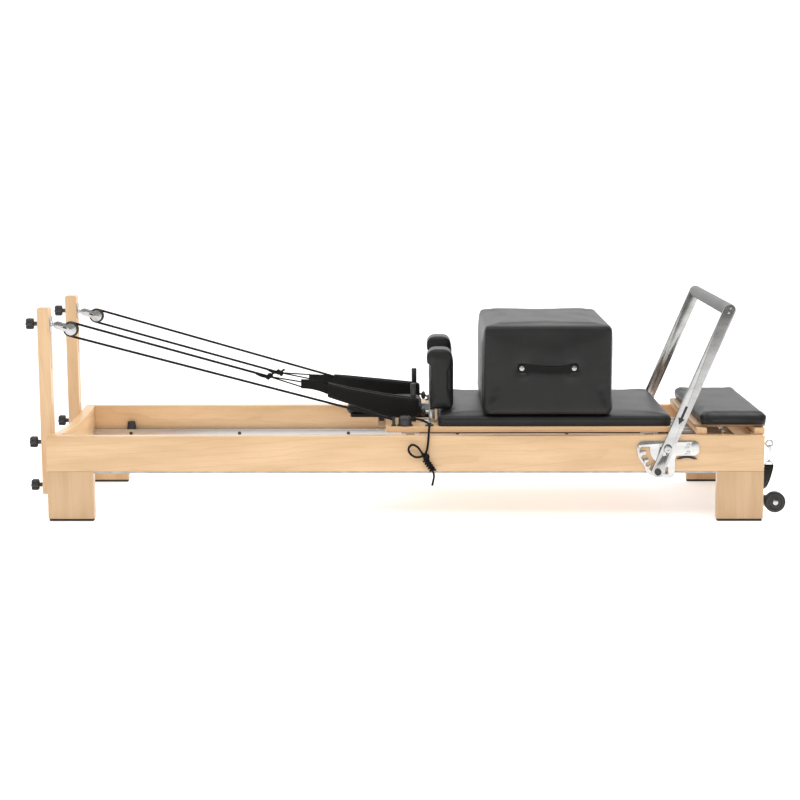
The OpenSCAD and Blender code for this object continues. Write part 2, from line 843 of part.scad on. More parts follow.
near_side_rail();
far_side_rail();
legs();
foot_pads();
head_end_board();
foot_end_board();
edge_strips();
tracks();
track_screws();
track_stops();
posts();
post_knobs();
near_top_knob();
far_top_knob();
eye_plates();
pulley_blocks();
near_sheave();
far_sheave();
near_rope();
far_rope();
near_rope_tail();
near_hand_strap();
far_hand_strap();
platform_battens();
platform_board();
platform_pad();
comb_plates();
footbar_bolts();
bar_rests();
pivot_bushings();
footbar_arms();
footbar_tube();
footbar_grip();
grip_screws();
lock_pins();
eye_bolts();
snap_hooks();
foot_strap();
wheel_brackets();
near_transport_wheel();
far_transport_wheel();
carriage_board();
carriage_pad();
wheel_forks();
front_wheels();
rear_wheels();
headrest_board();
headrest_pad();
headrest_hinge();
headrest_prop();
shoulder_pads();
shoulder_brackets();
shoulder_knobs();
strap_pegs();
rope_cleats();
sitting_box();
box_handles();
box_screws();
spring_bar();
springs();
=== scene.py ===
"""Looks of a wooden pilates reformer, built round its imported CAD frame."""

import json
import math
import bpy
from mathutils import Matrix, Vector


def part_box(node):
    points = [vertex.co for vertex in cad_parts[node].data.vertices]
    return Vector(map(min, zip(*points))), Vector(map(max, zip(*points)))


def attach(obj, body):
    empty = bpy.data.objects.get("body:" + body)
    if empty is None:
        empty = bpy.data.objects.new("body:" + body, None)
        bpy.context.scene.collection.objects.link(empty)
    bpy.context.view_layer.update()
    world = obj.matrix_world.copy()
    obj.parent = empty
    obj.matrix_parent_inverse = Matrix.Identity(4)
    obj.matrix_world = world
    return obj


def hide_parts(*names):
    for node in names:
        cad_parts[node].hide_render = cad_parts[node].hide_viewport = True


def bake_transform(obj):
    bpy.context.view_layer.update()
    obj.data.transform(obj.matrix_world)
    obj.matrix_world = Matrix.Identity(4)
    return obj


bl_info = {
    "name": "Pilates Reformer",
    "version": (1, 0, 0),
    "blender": (4, 5, 0),
    "location": "3D View > Sidebar > Reformer",
    "description": "Models and finishes the pieces of a wooden pilates reformer",
    "category": "Add Mesh",
}

import bmesh
import bpy
from mathutils import Matrix, Vector

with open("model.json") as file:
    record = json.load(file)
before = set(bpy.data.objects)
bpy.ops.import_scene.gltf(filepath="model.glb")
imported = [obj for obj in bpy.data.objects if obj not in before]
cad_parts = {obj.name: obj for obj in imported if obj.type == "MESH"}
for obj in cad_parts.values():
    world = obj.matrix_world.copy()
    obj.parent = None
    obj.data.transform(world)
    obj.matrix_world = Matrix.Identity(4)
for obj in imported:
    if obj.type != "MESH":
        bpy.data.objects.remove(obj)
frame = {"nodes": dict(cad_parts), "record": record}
NODES = frame["nodes"]
BODY_OF = {
    node: body
    for body, nodes in frame["record"]["behaviour"]["bodies"].items()
    for node in nodes
}
SLOT_OF = {s["node"]: s["material_slot"] for s in frame["record"]["subparts"]}
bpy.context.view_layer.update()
MM = 0.001


# ---------------------------------------------------------------- settings


class ReformerSizes(bpy.types.PropertyGroup):
    """Sizes that a user may change."""

    edge: bpy.props.FloatProperty(
        name="Wood edge",
        description="Radius of the eased edges of the wood",
        default=2.2 * MM,
        unit="LENGTH",
    )
    metal_edge: bpy.props.FloatProperty(
        name="Metal edge",
        description="Radius of the polished edges of the steel",
        default=0.7 * MM,
        unit="LENGTH",
    )
    pressure: bpy.props.FloatProperty(
        name="Pad pressure",
        description="Cloth pressure that swells the upholstery",
        default=4.0,
    )
    rope: bpy.props.FloatProperty(
        name="Rope",
        description="Diameter of the ropes",
        default=8 * MM,
        unit="LENGTH",
    )
    wire: bpy.props.FloatProperty(
        name="Spring wire",
        description="Diameter of the springs' wire",
        default=3.2 * MM,
        unit="LENGTH",
    )


class ReformerColours(bpy.types.PropertyGroup):
    """Colours that a user may change."""

    maple: bpy.props.FloatVectorProperty(
        name="Maple",
        description="Middle tone of the varnished maple",
        subtype="COLOR",
        size=3,
        default=(0.745, 0.495, 0.275),
    )
    leather: bpy.props.FloatVectorProperty(
        name="Upholstery",
        description="Colour of the upholstery",
        subtype="COLOR",
        size=3,
        default=(0.0085, 0.0085, 0.0082),
    )
    grip: bpy.props.FloatVectorProperty(
        name="Grip",
        description="Colour of the footbar's grip",
        subtype="COLOR",
        size=3,
        default=(0.14, 0.139, 0.138),
    )


def sizes():
    return bpy.context.scene.reformer_sizes


def colours():
    return bpy.context.scene.reformer_colours


# ---------------------------------------------------------------- modelling helpers


def only(*objects):
    """Selects these objects alone and makes the first one active."""
    bpy.ops.object.select_all(action="DESELECT")
    for obj in objects:
        obj.select_set(True)
    bpy.context.view_layer.objects.active = objects[0]


def named(name):
    """Names the new active object and bakes its place into its mesh."""
    obj = bpy.context.object
    obj.name = obj.data.name = name
    bpy.ops.object.transform_apply(location=True, rotation=True, scale=True)
    return obj


def box(name, low, high):
    """A block between two corners."""
    low, high = Vector(low), Vector(high)
    bpy.ops.object.select_all(action="DESELECT")
    bpy.ops.mesh.primitive_cube_add(size=1, location=(low + high) / 2)
    bpy.context.object.scale = high - low
    return named(name)


def rod(name, p, q, radius, sides=32, tip=None):
    """A round bar from p to q, or a cone that ends in radius tip."""
    p, q = Vector(p), Vector(q)
    bpy.ops.object.select_all(action="DESELECT")
    bpy.ops.mesh.primitive_cone_add(
        vertices=sides,
        radius1=radius,
        radius2=radius if tip is None else tip,
        depth=(q - p).length,
        location=(p + q) / 2,
        rotation=(q - p).to_track_quat("Z", "Y").to_euler(),
    )
    return named(name)


def ring(name, centre, axis, major, minor, sides=40, around=14):
    """A torus about an axis."""
    bpy.ops.object.select_all(action="DESELECT")
    bpy.ops.mesh.primitive_torus_add(
        location=centre,
        rotation=Vector(axis).to_track_quat("Z", "Y").to_euler(),
        major_radius=major,
        minor_radius=minor,
        major_segments=sides,
        minor_segments=around,
    )
    return named(name)


def turned(name, profile, centre, axis, sides=64):
    """A lathe-turned piece: profile is (distance along the axis, radius) pairs, spun about the axis."""
    bpy.ops.object.select_all(action="DESELECT")
    bpy.ops.mesh.primitive_plane_add(size=MM)
    obj = bpy.context.object
    bpy.ops.object.mode_set(mode="EDIT")
    bpy.ops.mesh.merge(type="CENTER")
    bpy.ops.transform.translate(value=(profile[0][1], 0, profile[0][0]))
    for (along, radius), (next_along, next_radius) in zip(profile, profile[1:]):
        step = (next_radius - radius, 0, next_along - along)
        bpy.ops.mesh.extrude_region_move(TRANSFORM_OT_translate={"value": step})
    bpy.ops.mesh.select_all(action="SELECT")
    bpy.ops.mesh.spin(steps=sides, angle=2 * math.pi, center=(0, 0, 0), axis=(0, 0, 1))
    bpy.ops.mesh.select_all(action="SELECT")
    bpy.ops.mesh.remove_doubles(threshold=1e-6)
    bpy.ops.mesh.normals_make_consistent(inside=False)
    bpy.ops.object.mode_set(mode="OBJECT")
    obj.rotation_euler = Vector(axis).to_track_quat("Z", "Y").to_euler()
    obj.location = centre
    return named(name)


def modify(obj, kind, **settings):
    """Adds a modifier with these settings and applies it."""
    only(obj)
    modifier = obj.modifiers.new(kind.title(), kind)
    for key, value in settings.items():
        setattr(modifier, key, value)
    bpy.ops.object.modifier_apply(modifier=modifier.name)
    return obj


def round_edges(obj, width, segments=3, angle=30):
    """Rounds the edges that are sharper than an angle in degrees."""
    return modify(
        obj,
        "BEVEL",
        width=width,
        segments=segments,
        limit_method="ANGLE",
        angle_limit=math.radians(angle),
        use_clamp_overlap=True,
        harden_normals=False,
    )


def join(name, *objects):
    """Joins objects into the first one."""
    only(*objects)
    if len(objects) > 1:
        bpy.ops.object.join()
    obj = bpy.context.object
    obj.name = obj.data.name = name
    return obj


def smooth(obj, angle=35):
    """Smooth shading, except over edges sharper than an angle in degrees."""
    only(obj)
    bpy.ops.object.shade_smooth_by_angle(angle=math.radians(angle))
    return obj


def mirrored(obj, name):
    """A copy of a piece on the other side of the machine."""
    twin = obj.copy()
    twin.data = obj.data.copy()
    twin.name = twin.data.name = name
    bpy.context.collection.objects.link(twin)
    twin.data.transform(Matrix.Diagonal((1, -1, 1, 1)))
    twin.data.flip_normals()
    return twin


def merged_copy(node, name):
    """A copy of a CAD node as one clean mesh, with its flat faces whole again."""
    obj = NODES[node].copy()
    obj.data = NODES[node].data.copy()
    for key in [k for k in obj.keys() if k.startswith("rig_")]:
        del obj[key]
    obj.parent = None
    obj.name = obj.data.name = name
    bpy.context.collection.objects.link(obj)
    obj.data.materials.clear()
    only(obj)
    bpy.ops.object.mode_set(mode="EDIT")
    bpy.ops.mesh.select_all(action="SELECT")
    bpy.ops.mesh.remove_doubles(threshold=1e-5)
    bpy.ops.mesh.dissolve_limited(angle_limit=math.radians(0.6))
    bpy.ops.object.mode_set(mode="OBJECT")
    return obj


def finish_piece(obj, body, material, nodes=(), slot=None):
    """Gives a piece its material and its body, and hides the CAD nodes that it stands for."""
    if material is not None:
        obj.data.materials.clear()
        obj.data.materials.append(material)
    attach(obj, body)
    if nodes:
        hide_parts(*nodes)
        slot = slot or SLOT_OF[nodes[0]]
    return obj


def refined(node, material, width, segments=2):
    """A CAD node's own shape with eased edges."""
    obj = merged_copy(node, node + "_shape")
    if width:
        round_edges(obj, width, segments)
    smooth(obj)
    return finish_piece(obj, BODY_OF[node], material, [node])


def built(name, mesh):
    """A new object from a bmesh, which is then freed."""
    data = bpy.data.meshes.new(name)
    mesh.to_mesh(data)
    mesh.free()
    obj = bpy.data.objects.new(name, data)
    bpy.context.collection.objects.link(obj)
    return obj


def tube(name, points, radius, sides=12):
    """A round tube along points, with a UV map: U round it in turns, V along it in metres."""
    mesh = bmesh.new()
    uv = mesh.loops.layers.uv.new("UVMap")
    rings, run, reach = [], 0.0, []
    up = Vector((0.02, 0.03, 1)).normalized()
    side = None
    for i, p in enumerate(points):
        ahead = (points[min(i + 1, len(points) - 1)] - points[max(i - 1, 0)]).normalized()
        if side is None:
            side = ahead.cross(up).normalized()
        side = (side - ahead * side.dot(ahead)).normalized()
        other = ahead.cross(side)
        if i:
            run += (p - points[i - 1]).length
        reach.append(run)
        turn = [2 * math.pi * k / sides for k in range(sides)]
        rings.append(
            [mesh.verts.new(p + radius * (math.cos(a) * side + math.sin(a) * other)) for a in turn]
        )
    for i in range(len(rings) - 1):
        for k in range(sides):
            n = (k + 1) % sides
            face = mesh.faces.new((rings[i][k], rings[i][n], rings[i + 1][n], rings[i + 1][k]))
            face.smooth = True
            spots = [(k, i), (k + 1, i), (k + 1, i + 1), (k, i + 1)]
            for loop, (u, v) in zip(face.loops, spots):
                loop[uv].uv = (u / sides, reach[v])
    mesh.faces.new(list(reversed(rings[0])))
    mesh.faces.new(rings[-1])
    mesh.normal_update()
    return built(name, mesh)


def flow(points, steps=6):
    """Points on a smooth curve through a list of points."""
    p = [Vector(v) for v in points]
    out = []
    for i in range(len(p) - 1):
        a, b, c, d = p[max(i - 1, 0)], p[i], p[i + 1], p[min(i + 2, len(p) - 1)]
        for s in range(steps):
            t = s / steps
            out.append(
                0.5
                * (
                    2 * b
                    + (c - a) * t
                    + (2 * a - 5 * b + 4 * c - d) * t * t
                    + (3 * b - a - 3 * c + d) * t**3
                )
            )
    out.append(p[-1])
    return out


# ---------------------------------------------------------------- materials


class Finish:
    """A procedural material: its nodes are added and linked by name."""

    def __init__(self, name, colour, roughness, **sockets):
        self.material = bpy.data.materials.new(name)
        self.material.use_nodes = True
        self.tree = self.material.node_tree
        self.shader = self.tree.nodes["Principled BSDF"]
        self.shader.inputs["Base Color"].default_value = (*colour, 1)
        self.shader.inputs["Roughness"].default_value = roughness
        for key, value in sockets.items():
            self.shader.inputs[key.replace("_", " ").title().replace("Ior", "IOR")].default_value = value

    def add(self, kind, links=(), **values):
        """A node of this kind; values are its settings or, failing that, its inputs."""
        node = self.tree.nodes.new("ShaderNode" + kind)
        for key, value in values.items():
            if hasattr(node, key):
                setattr(node, key, value)
            else:
                node.inputs[key.replace("_", " ").title()].default_value = value
        for socket, source in dict(links).items():
            self.tree.links.new(source, node.inputs[socket])
        return node

    def place(self, scale=(1, 1, 1), rotation=(0, 0, 0), location=(0, 0, 0), output="Object"):
        """Coordinates of the piece, scaled and turned."""
        coordinates = self.add("TexCoord")
        mapping = self.add("Mapping", {"Vector": coordinates.outputs[output]})
        mapping.inputs["Scale"].default_value = scale
        mapping.inputs["Rotation"].default_value = rotation
        mapping.inputs["Location"].default_value = location
        return mapping.outputs["Vector"]

    def noise(self, vector, scale, detail=3.0, roughness=0.5, distortion=0.0):
        """Value of a noise texture."""
        node = self.add("TexNoise", {"Vector": vector})
        for key, value in (
            ("Scale", scale),
            ("Detail", detail),
            ("Roughness", roughness),
            ("Distortion", distortion),
        ):
            node.inputs[key].default_value = value
        return node.outputs["Fac"]

    def ramp(self, value, *stops):
        """Colours or greys at places between 0 and 1."""
        node = self.add("ValToRGB", {"Fac": value})
        elements = node.color_ramp.elements
        while len(elements) < len(stops):
            elements.new(0.5)
        for element, (place, colour) in zip(elements, stops):
            element.position = place
            grey = isinstance(colour, (int, float))
            element.color = (colour, colour, colour, 1) if grey else (*colour, 1)
        return node.outputs["Color"]

    def mix(self, a, b, factor, blend="MIX"):
        """Two colours mixed by a factor, each a socket or a plain value."""
        node = self.add("Mix", data_type="RGBA", blend_type=blend)
        for index, value in ((0, factor), (6, a), (7, b)):
            socket = node.inputs[index]
            if isinstance(value, bpy.types.NodeSocket):
                self.tree.links.new(value, socket)
            elif isinstance(value, (int, float)):
                socket.default_value = value
            else:
                socket.default_value = (*value, 1)
        return node.outputs[2]

    def math(self, operation, a, b=0.0):
        """One sum on two numbers, each a socket or a plain value."""
        node = self.add("Math", operation=operation)
        for socket, value in zip(node.inputs, (a, b)):
            if isinstance(value, bpy.types.NodeSocket):
                self.tree.links.new(value, socket)
            else:
                socket.default_value = value
        return node.outputs[0]

    def colour(self, socket):
        self.tree.links.new(socket, self.shader.inputs["Base Color"])

    def rough(self, value, low, high):
        """Roughness between low and high over a texture's value."""
        node = self.add("MapRange", {"Value": value})
        node.inputs["To Min"].default_value = low
        node.inputs["To Max"].default_value = high
        self.tree.links.new(node.outputs["Result"], self.shader.inputs["Roughness"])

    def bump(self, height, distance, strength=1.0, normal=None):
        """Relief of this height in metres, on top of another relief."""
        node = self.add("Bump", {"Height": height})
        node.inputs["Distance"].default_value = distance
        node.inputs["Strength"].default_value = strength
        if normal is not None:
            self.tree.links.new(normal, node.inputs["Normal"])
        self.tree.links.new(node.outputs["Normal"], self.shader.inputs["Normal"])
        return node.outputs["Normal"]


# Turns that lay the grain, drawn along X, along another axis
GRAIN_TURN = {"X": (0, 0, 0), "Y": (0, 0, math.pi / 2), "Z": (0, math.pi / 2, 0)}


def tinted(colour, gain, shift=(1, 1, 1)):
    return tuple(min(1.0, c * gain * s) for c, s in zip(colour, shift))


def maple(name, grain, place=(0, 0, 0), gain=1.0, rate=11.0, depth=0.26):
    """Varnished maple with its growth rings cut by the board's faces, its fibres and its flecks."""
    base = colours().maple
    f = Finish(name, base, 0.36, coat_weight=0.22, coat_roughness=0.22)
    turn = GRAIN_TURN[grain]
    board = f.place(rotation=turn, location=place)
    stretched = f.add("Mapping", {"Vector": board})
    stretched.inputs["Scale"].default_value = (0.9, 6, 6)
    wander = f.noise(stretched.outputs[0], 1.6, 4.0, 0.55)
    tilt = f.add("Mapping", {"Vector": board})
    tilt.inputs["Rotation"].default_value = (0, 0.055, 0.05)
    tilt.inputs["Location"].default_value = (0, 0.16, 0.05)
    pushed = f.add("VectorMath", {0: tilt.outputs[0]}, operation="MULTIPLY_ADD")
    pushed.inputs[1].default_value = (0.12, 1, 1)
    offset = f.add("VectorMath", {0: wander}, operation="SCALE")
    offset.inputs["Scale"].default_value = 0.085
    f.tree.links.new(offset.outputs[0], pushed.inputs[2])
    rings = f.add(
        "TexWave",
        {"Vector": pushed.outputs[0]},
        wave_type="RINGS",
        rings_direction="X",
        wave_profile="SAW",
    )
    for key, value in (("Scale", rate), ("Distortion", 1.2), ("Detail", 2.0), ("Detail Scale", 1.4)):
        rings.inputs[key].default_value = value
    late = f.ramp(rings.outputs["Fac"], (0.0, 0.0), (0.78, 0.12), (0.95, 1.0), (1.0, 0.15))
    fibre_place = f.add("Mapping", {"Vector": board})
    fibre_place.inputs["Scale"].default_value = (7, 330, 330)
    fibre = f.noise(fibre_place.outputs[0], 1.0, 5.0, 0.6)
    fleck_place = f.add("Mapping", {"Vector": board})
    fleck_place.inputs["Scale"].default_value = (55, 900, 900)
    fleck = f.ramp(f.noise(fleck_place.outputs[0], 1.0, 2.0), (0.30, 1.0), (0.36, 0.0))
    cloud = f.noise(stretched.outputs[0], 3.2, 3.0, 0.5)
    ground = f.mix(
        tinted(base, 0.93 * gain, (0.98, 0.95, 0.9)),
        tinted(base, 1.12 * gain, (1, 1.03, 1.08)),
        f.ramp(cloud, (0.3, 0.0), (0.7, 1.0)),
    )
    with_rings = f.mix(
        ground, tinted(base, 0.74 * gain, (1, 0.86, 0.72)), f.math("MULTIPLY", late, depth)
    )
    with_fibre = f.mix(
        with_rings,
        tinted(base, 0.8 * gain, (1, 0.92, 0.84)),
        f.math("MULTIPLY", f.ramp(fibre, (0.42, 0.0), (0.75, 1.0)), 0.30),
    )
    f.colour(f.mix(with_fibre, tinted(base, 0.55 * gain, (1, 0.85, 0.7)), f.math("MULTIPLY", fleck, 0.25)))
    f.rough(fibre, 0.30, 0.44)
    f.bump(fibre, 0.00012)
    return f.material


def plywood(name, lamination=0.0016, gain=1.0):
    """Maple plywood: layers on the edges and straight figure on the faces."""
    base = tinted(colours().maple, gain)
    f = Finish(name, base, 0.42, coat_weight=0.12, coat_roughness=0.3)
    board = f.place()
    parts = f.add("SeparateXYZ", {"Vector": board})
    layers = f.math("FRACT", f.math("DIVIDE", parts.outputs["Z"], 2 * lamination))
    stripe = f.ramp(layers, (0.0, 0.0), (0.46, 0.0), (0.5, 1.0), (0.96, 1.0), (1.0, 0.0))
    fibre_place = f.add("Mapping", {"Vector": board})
    fibre_place.inputs["Scale"].default_value = (9, 260, 260)
    fibre = f.noise(fibre_place.outputs[0], 1.0, 4.0, 0.6)
    face = f.mix(base, tinted(base, 0.82, (1, 0.93, 0.85)), f.ramp(fibre, (0.4, 0.0), (0.8, 1.0)))
    end_grain = f.noise(f.place(scale=(900, 900, 500)), 1.0, 2.0)
    edge = f.mix(
        tinted(base, 1.12, (1, 0.99, 0.96)),
        tinted(base, 0.55, (1, 0.82, 0.66)),
        f.math("MULTIPLY", stripe, 0.5),
    )
    edge = f.mix(edge, tinted(base, 0.42, (1, 0.8, 0.6)), f.ramp(end_grain, (0.55, 0.0), (0.8, 0.5)))
    streak = f.noise(f.place(scale=(7, 7, 330)), 1.0, 4.0, 0.65)
    edge = f.mix(edge, tinted(base, 0.4, (1, 0.78, 0.58)), f.ramp(streak, (0.54, 0.0), (0.7, 0.5)))
    normal = f.add("SeparateXYZ", {"Vector": f.add("NewGeometry").outputs["Normal"]})
    flat = f.math("GREATER_THAN", f.math("ABSOLUTE", normal.outputs["Z"]), 0.7)
    f.colour(f.mix(edge, face, flat))
    f.rough(fibre, 0.38, 0.52)
    f.bump(fibre, 0.0001)
    return f.material


def leather(name, gain=1.0, roughness=0.37):
    """Black leather cloth: fine pebbled grain, slight sheen, faint scuffs."""
    base = tinted(colours().leather, gain)
    f = Finish(name, base, roughness, specular_ior_level=0.31, sheen_weight=0.025, sheen_roughness=0.5)
    pebble = f.add("TexVoronoi", {"Vector": f.place()}, feature="SMOOTH_F1")
    pebble.inputs["Scale"].default_value = 620.0
    pebble.inputs["Smoothness"].default_value = 0.6
    wide = f.noise(f.place(), 9.0, 3.0)
    fine = f.noise(f.place(), 900.0, 2.0)
    f.colour(f.mix(base, tinted(base, 1.7), f.ramp(wide, (0.35, 0.0), (0.75, 0.8))))
    f.rough(wide, roughness - 0.05, roughness + 0.09)
    slack = f.noise(f.place(), 22.0, 3.0, 0.6)
    lower = f.bump(slack, 0.0009, 0.6)
    grain = f.bump(pebble.outputs["Distance"], 0.0004, 0.5, lower)
    f.bump(fine, 0.00012, 0.5, grain)
    return f.material


def steel(name, brushed="X", base=(0.80, 0.80, 0.80), roughness=0.13, spread=0.1):
    """Polished steel with fine brushing along an axis and smears; spread is how far they differ."""
    f = Finish(name, base, roughness, metallic=1.0)
    turn = GRAIN_TURN[brushed]
    lines = f.noise(f.place(scale=(14, 1500, 1500), rotation=turn), 1.0, 3.0)
    smear = f.noise(f.place(scale=(9, 22, 22), rotation=turn), 1.0, 4.0, 0.6)
    dark, light = tinted(base, 1 - 1.4 * spread), tinted(base, 1 + 0.6 * spread)
    f.colour(f.mix(dark, light, f.ramp(smear, (0.35, 0.0), (0.65, 1.0))))
    f.rough(f.mix(lines, smear, 0.6), roughness - 0.06, roughness + 0.14)
    f.bump(lines, 0.00003, 0.6)
    return f.material


def aluminium(name):
    """Extruded aluminium, anodised grey, with faint draw lines along X."""
    f = Finish(name, (0.56, 0.565, 0.575), 0.34, metallic=1.0)
    lines = f.noise(f.place(scale=(3, 1200, 1200)), 1.0, 3.0)
    f.colour(f.mix((0.46, 0.465, 0.475), (0.64, 0.645, 0.655), lines))
    f.rough(lines, 0.28, 0.44)
    f.bump(lines, 0.00004, 0.5)
    return f.material


def plastic(name, base=(0.02, 0.02, 0.021), roughness=0.38, grain=0.00010):
    """Moulded black plastic with a fine spark texture."""
    f = Finish(name, base, roughness, specular_ior_level=0.5)
    fine = f.noise(f.place(), 1600.0, 2.0)
    wide = f.noise(f.place(), 30.0, 3.0)
    f.colour(f.mix(base, tinted(base, 1.8), f.ramp(wide, (0.4, 0.0), (0.8, 0.7))))
    f.rough(wide, roughness - 0.06, roughness + 0.1)
    f.bump(fine, grain, 0.6)
    return f.material


def foam_grip(name):
    """Dense foam sleeve: matt, with open pores."""
    base = colours().grip
    f = Finish(name, base, 0.55, specular_ior_level=0.45)
    pores = f.noise(f.place(), 1100.0, 3.0, 0.6)
    wide = f.noise(f.place(scale=(1, 0.3, 1)), 16.0, 3.0)
    f.colour(f.mix(tinted(base, 0.8), tinted(base, 1.25), f.ramp(wide, (0.3, 0.0), (0.7, 1.0))))
    f.rough(wide, 0.46, 0.62)
    f.bump(pores, 0.00025, 0.7)
    return f.material


def braid(name, diameter):
    """Braided rope: two families of strands that cross, on the tube's own UV map."""
    f = Finish(name, (0.006, 0.006, 0.0058), 0.66, sheen_weight=0.0, specular_ior_level=0.2)
    turns = 1.0 / (diameter * 2.6)
    uv = f.add("TexCoord").outputs["UV"]
    heights = []
    for sign in (1, -1):
        skew = f.add("Mapping", {"Vector": uv})
        skew.inputs["Scale"].default_value = (8, turns * 8, 1)
        parts = f.add("SeparateXYZ", {"Vector": skew.outputs[0]})
        across = f.math("ADD", parts.outputs["X"], f.math("MULTIPLY", parts.outputs["Y"], 0.5 * sign))
        wave = f.math("ABSOLUTE", f.math("SUBTRACT", f.math("FRACT", across), 0.5))
        heights.append(f.math("SUBTRACT", 0.5, wave))
    strands = f.math("MAXIMUM", *heights)
    fuzz = f.noise(f.place(), 2500.0, 2.0)
    f.colour(
        f.mix((0.0015, 0.0015, 0.0015), (0.006, 0.0058, 0.0056), f.ramp(strands, (0.22, 0.0), (0.5, 1.0)))
    )
    f.bump(fuzz, 0.0002, 0.5, f.bump(strands, 0.0011, 0.9))
    return f.material


def webbing(name, pitch=0.0017, base=(0.004, 0.0038, 0.0036)):
    """Woven webbing on the strap's own UV map, in metres."""
    f = Finish(name, base, 0.72, sheen_weight=0.06, sheen_roughness=0.45, specular_ior_level=0.2)
    uv = f.add("TexCoord").outputs["UV"]
    scaled = f.add("Mapping", {"Vector": uv})
    scaled.inputs["Scale"].default_value = (1 / pitch, 0.7 / pitch, 1)
    parts = f.add("SeparateXYZ", {"Vector": scaled.outputs[0]})
    warp = f.math("SINE", f.math("MULTIPLY", parts.outputs["X"], 2 * math.pi))
    weft = f.math("SINE", f.math("MULTIPLY", parts.outputs["Y"], 2 * math.pi))
    cell = f.math("MULTIPLY", warp, weft)
    level = f.math("ADD", f.math("MULTIPLY", cell, 0.5), 0.5)
    f.colour(f.mix(tinted(base, 0.5), tinted(base, 2.1), level))
    fuzz = f.noise(f.place(), 1800.0, 2.0)
    f.bump(fuzz, 0.00015, 0.5, f.bump(level, 0.0004, 0.8))
    return f.material


def thread(name):
    """Waxed black sewing thread."""
    f = Finish(name, (0.03, 0.03, 0.03), 0.5, sheen_weight=0.2)
    f.bump(f.noise(f.place(), 3000.0, 2.0), 0.0001, 0.6)
    return f.material


STUFF = {}


class REFORMER_OT_finishes(bpy.types.Operator):
    """Every finish of the machine, made once"""

    bl_idname = "reformer.finishes"
    bl_label = "Finishes"

    def execute(self, context):
        STUFF.update(
            maple_x=maple("maple_rail", "X", (0, 0.17, -0.28), 0.92, 15.0),
            maple_far=maple("maple_far_rail", "X", (0.7, 0.2, 0.1)),
            maple_y=maple("maple_cross", "Y", (0.3, 0.1, 0.4), 1.02),
            # Painted shade: the legs get a darker copy of the maple (gain 0.79) for the shade beneath the
            # frame; the brackets' wood faces share it
            maple_z=maple("maple_upright_shaded", "Z", (0.2, 0.5, 0.3), 0.79, 17.0, 0.18),
            maple_post=maple("maple_post", "Z", (0.1, 0.25, 0.9), 0.93),
            prop=maple("maple_prop", "Y", (0.6, 0.3, 0.4), 0.52),
            ply=plywood("plywood"),
            # Painted shade: the platform board gets a darker copy of the plywood (gain 0.62) for the shade
            # under the platform pad
            ply_dark=plywood("plywood_shaded", gain=0.62),
            leather=leather("leather_cloth"),
            steel_bar=steel("steel_bar", "Z", (0.47, 0.465, 0.455), 0.14, 0.15),
            steel_plate=steel("steel_plate", "X", (0.58, 0.57, 0.56), 0.18),
            steel=steel("steel_fittings", "X", (0.5, 0.5, 0.495), 0.2, 0.2),
            spring=steel("steel_spring", "X", (0.55, 0.55, 0.56), 0.28),
            aluminium=aluminium("aluminium_extrusion"),
            strip=plastic("grey_strip", (0.36, 0.355, 0.35), 0.5),
            plastic=plastic("black_plastic"),
            rubber=plastic("black_rubber", (0.018, 0.018, 0.018), 0.62, 0.0002),
            wheel=plastic("wheel_tread", (0.012, 0.012, 0.0125), 0.36, 0.00012),
            grip=foam_grip("foam_grip"),
            rope=braid("braided_rope", 8 * MM),
            cord=braid("thin_cord", 3.5 * MM),
            web=webbing("strap_webbing"),
            thread=thread("sewing_thread"),
            ink=plastic("arrow_paint", (0.015, 0.015, 0.015), 0.5, 0.00002),
        )
        return {"FINISHED"}


# ---------------------------------------------------------------- shared shapes


def both_sides(obj):
    """The piece and its twin on the other side, as one piece."""
    return join(obj.name, obj, mirrored(obj, obj.name + "_far"))


def knob(name, place, reach=40.5 * MM, radius=20 * MM, lobes=6):
    """A star knob on its stem, pointing to the head end, with hollows between its lobes."""
    profile = [
        (0, 0),
        (0, 8.5 * MM),
        (2 * MM, 7.5 * MM),
        (14 * MM, 7.5 * MM),
        (15.4 * MM, 12 * MM),
        (16.8 * MM, 0.93 * radius),
        (19 * MM, radius),
        (reach - 4 * MM, radius),
        (reach - 1.2 * MM, 0.93 * radius),
        (reach, 0.8 * radius),
        (reach - 1.2 * MM, 9.4 * MM),
        (reach - 1.4 * MM, 8.8 * MM),
        (reach - 0.8 * MM, 8.4 * MM),
        (reach - 0.3 * MM, 0),
    ]
    obj = turned(name, profile, (0, 0, 0), (0, 0, 1), lobes * 14)
    for v in obj.data.vertices:
        if v.co.xy.length > 0.58 * radius:
            turn = math.atan2(v.co.y, v.co.x)
            hollow = (0.5 - 0.5 * math.cos(lobes * turn)) ** 1.6
            v.co.xy = v.co.xy * (1 - 0.34 * hollow)
    obj.rotation_euler = Vector((-1, 0, 0)).to_track_quat("Z", "Y").to_euler()
    obj.location = place
    only(obj)
    return smooth(named(name), 50)


def screw(name, place, axis, radius, height, socket=0.5, washer=0.0):
    """A round screw head with a hexagonal socket, on a washer if it has one."""
    sink = 0.35 * height
    profile = [
        (0, 0),
        (0, radius),
        (0.72 * height, radius),
        (0.93 * height, 0.93 * radius),
        (height, 0.8 * radius),
        (height, socket * radius),
        (sink, socket * radius),
        (sink, 0),
    ]
    head = turned(name, profile, place, axis, 36)
    if washer:
        plate = [(0, 0), (0, washer), (0.25 * height, washer), (0.32 * height, 0.92 * washer)]
        plate += [(0.32 * height, 0)]
        head = join(name, head, turned(name + "_washer", plate, place, axis, 40))
    return smooth(head, 40)


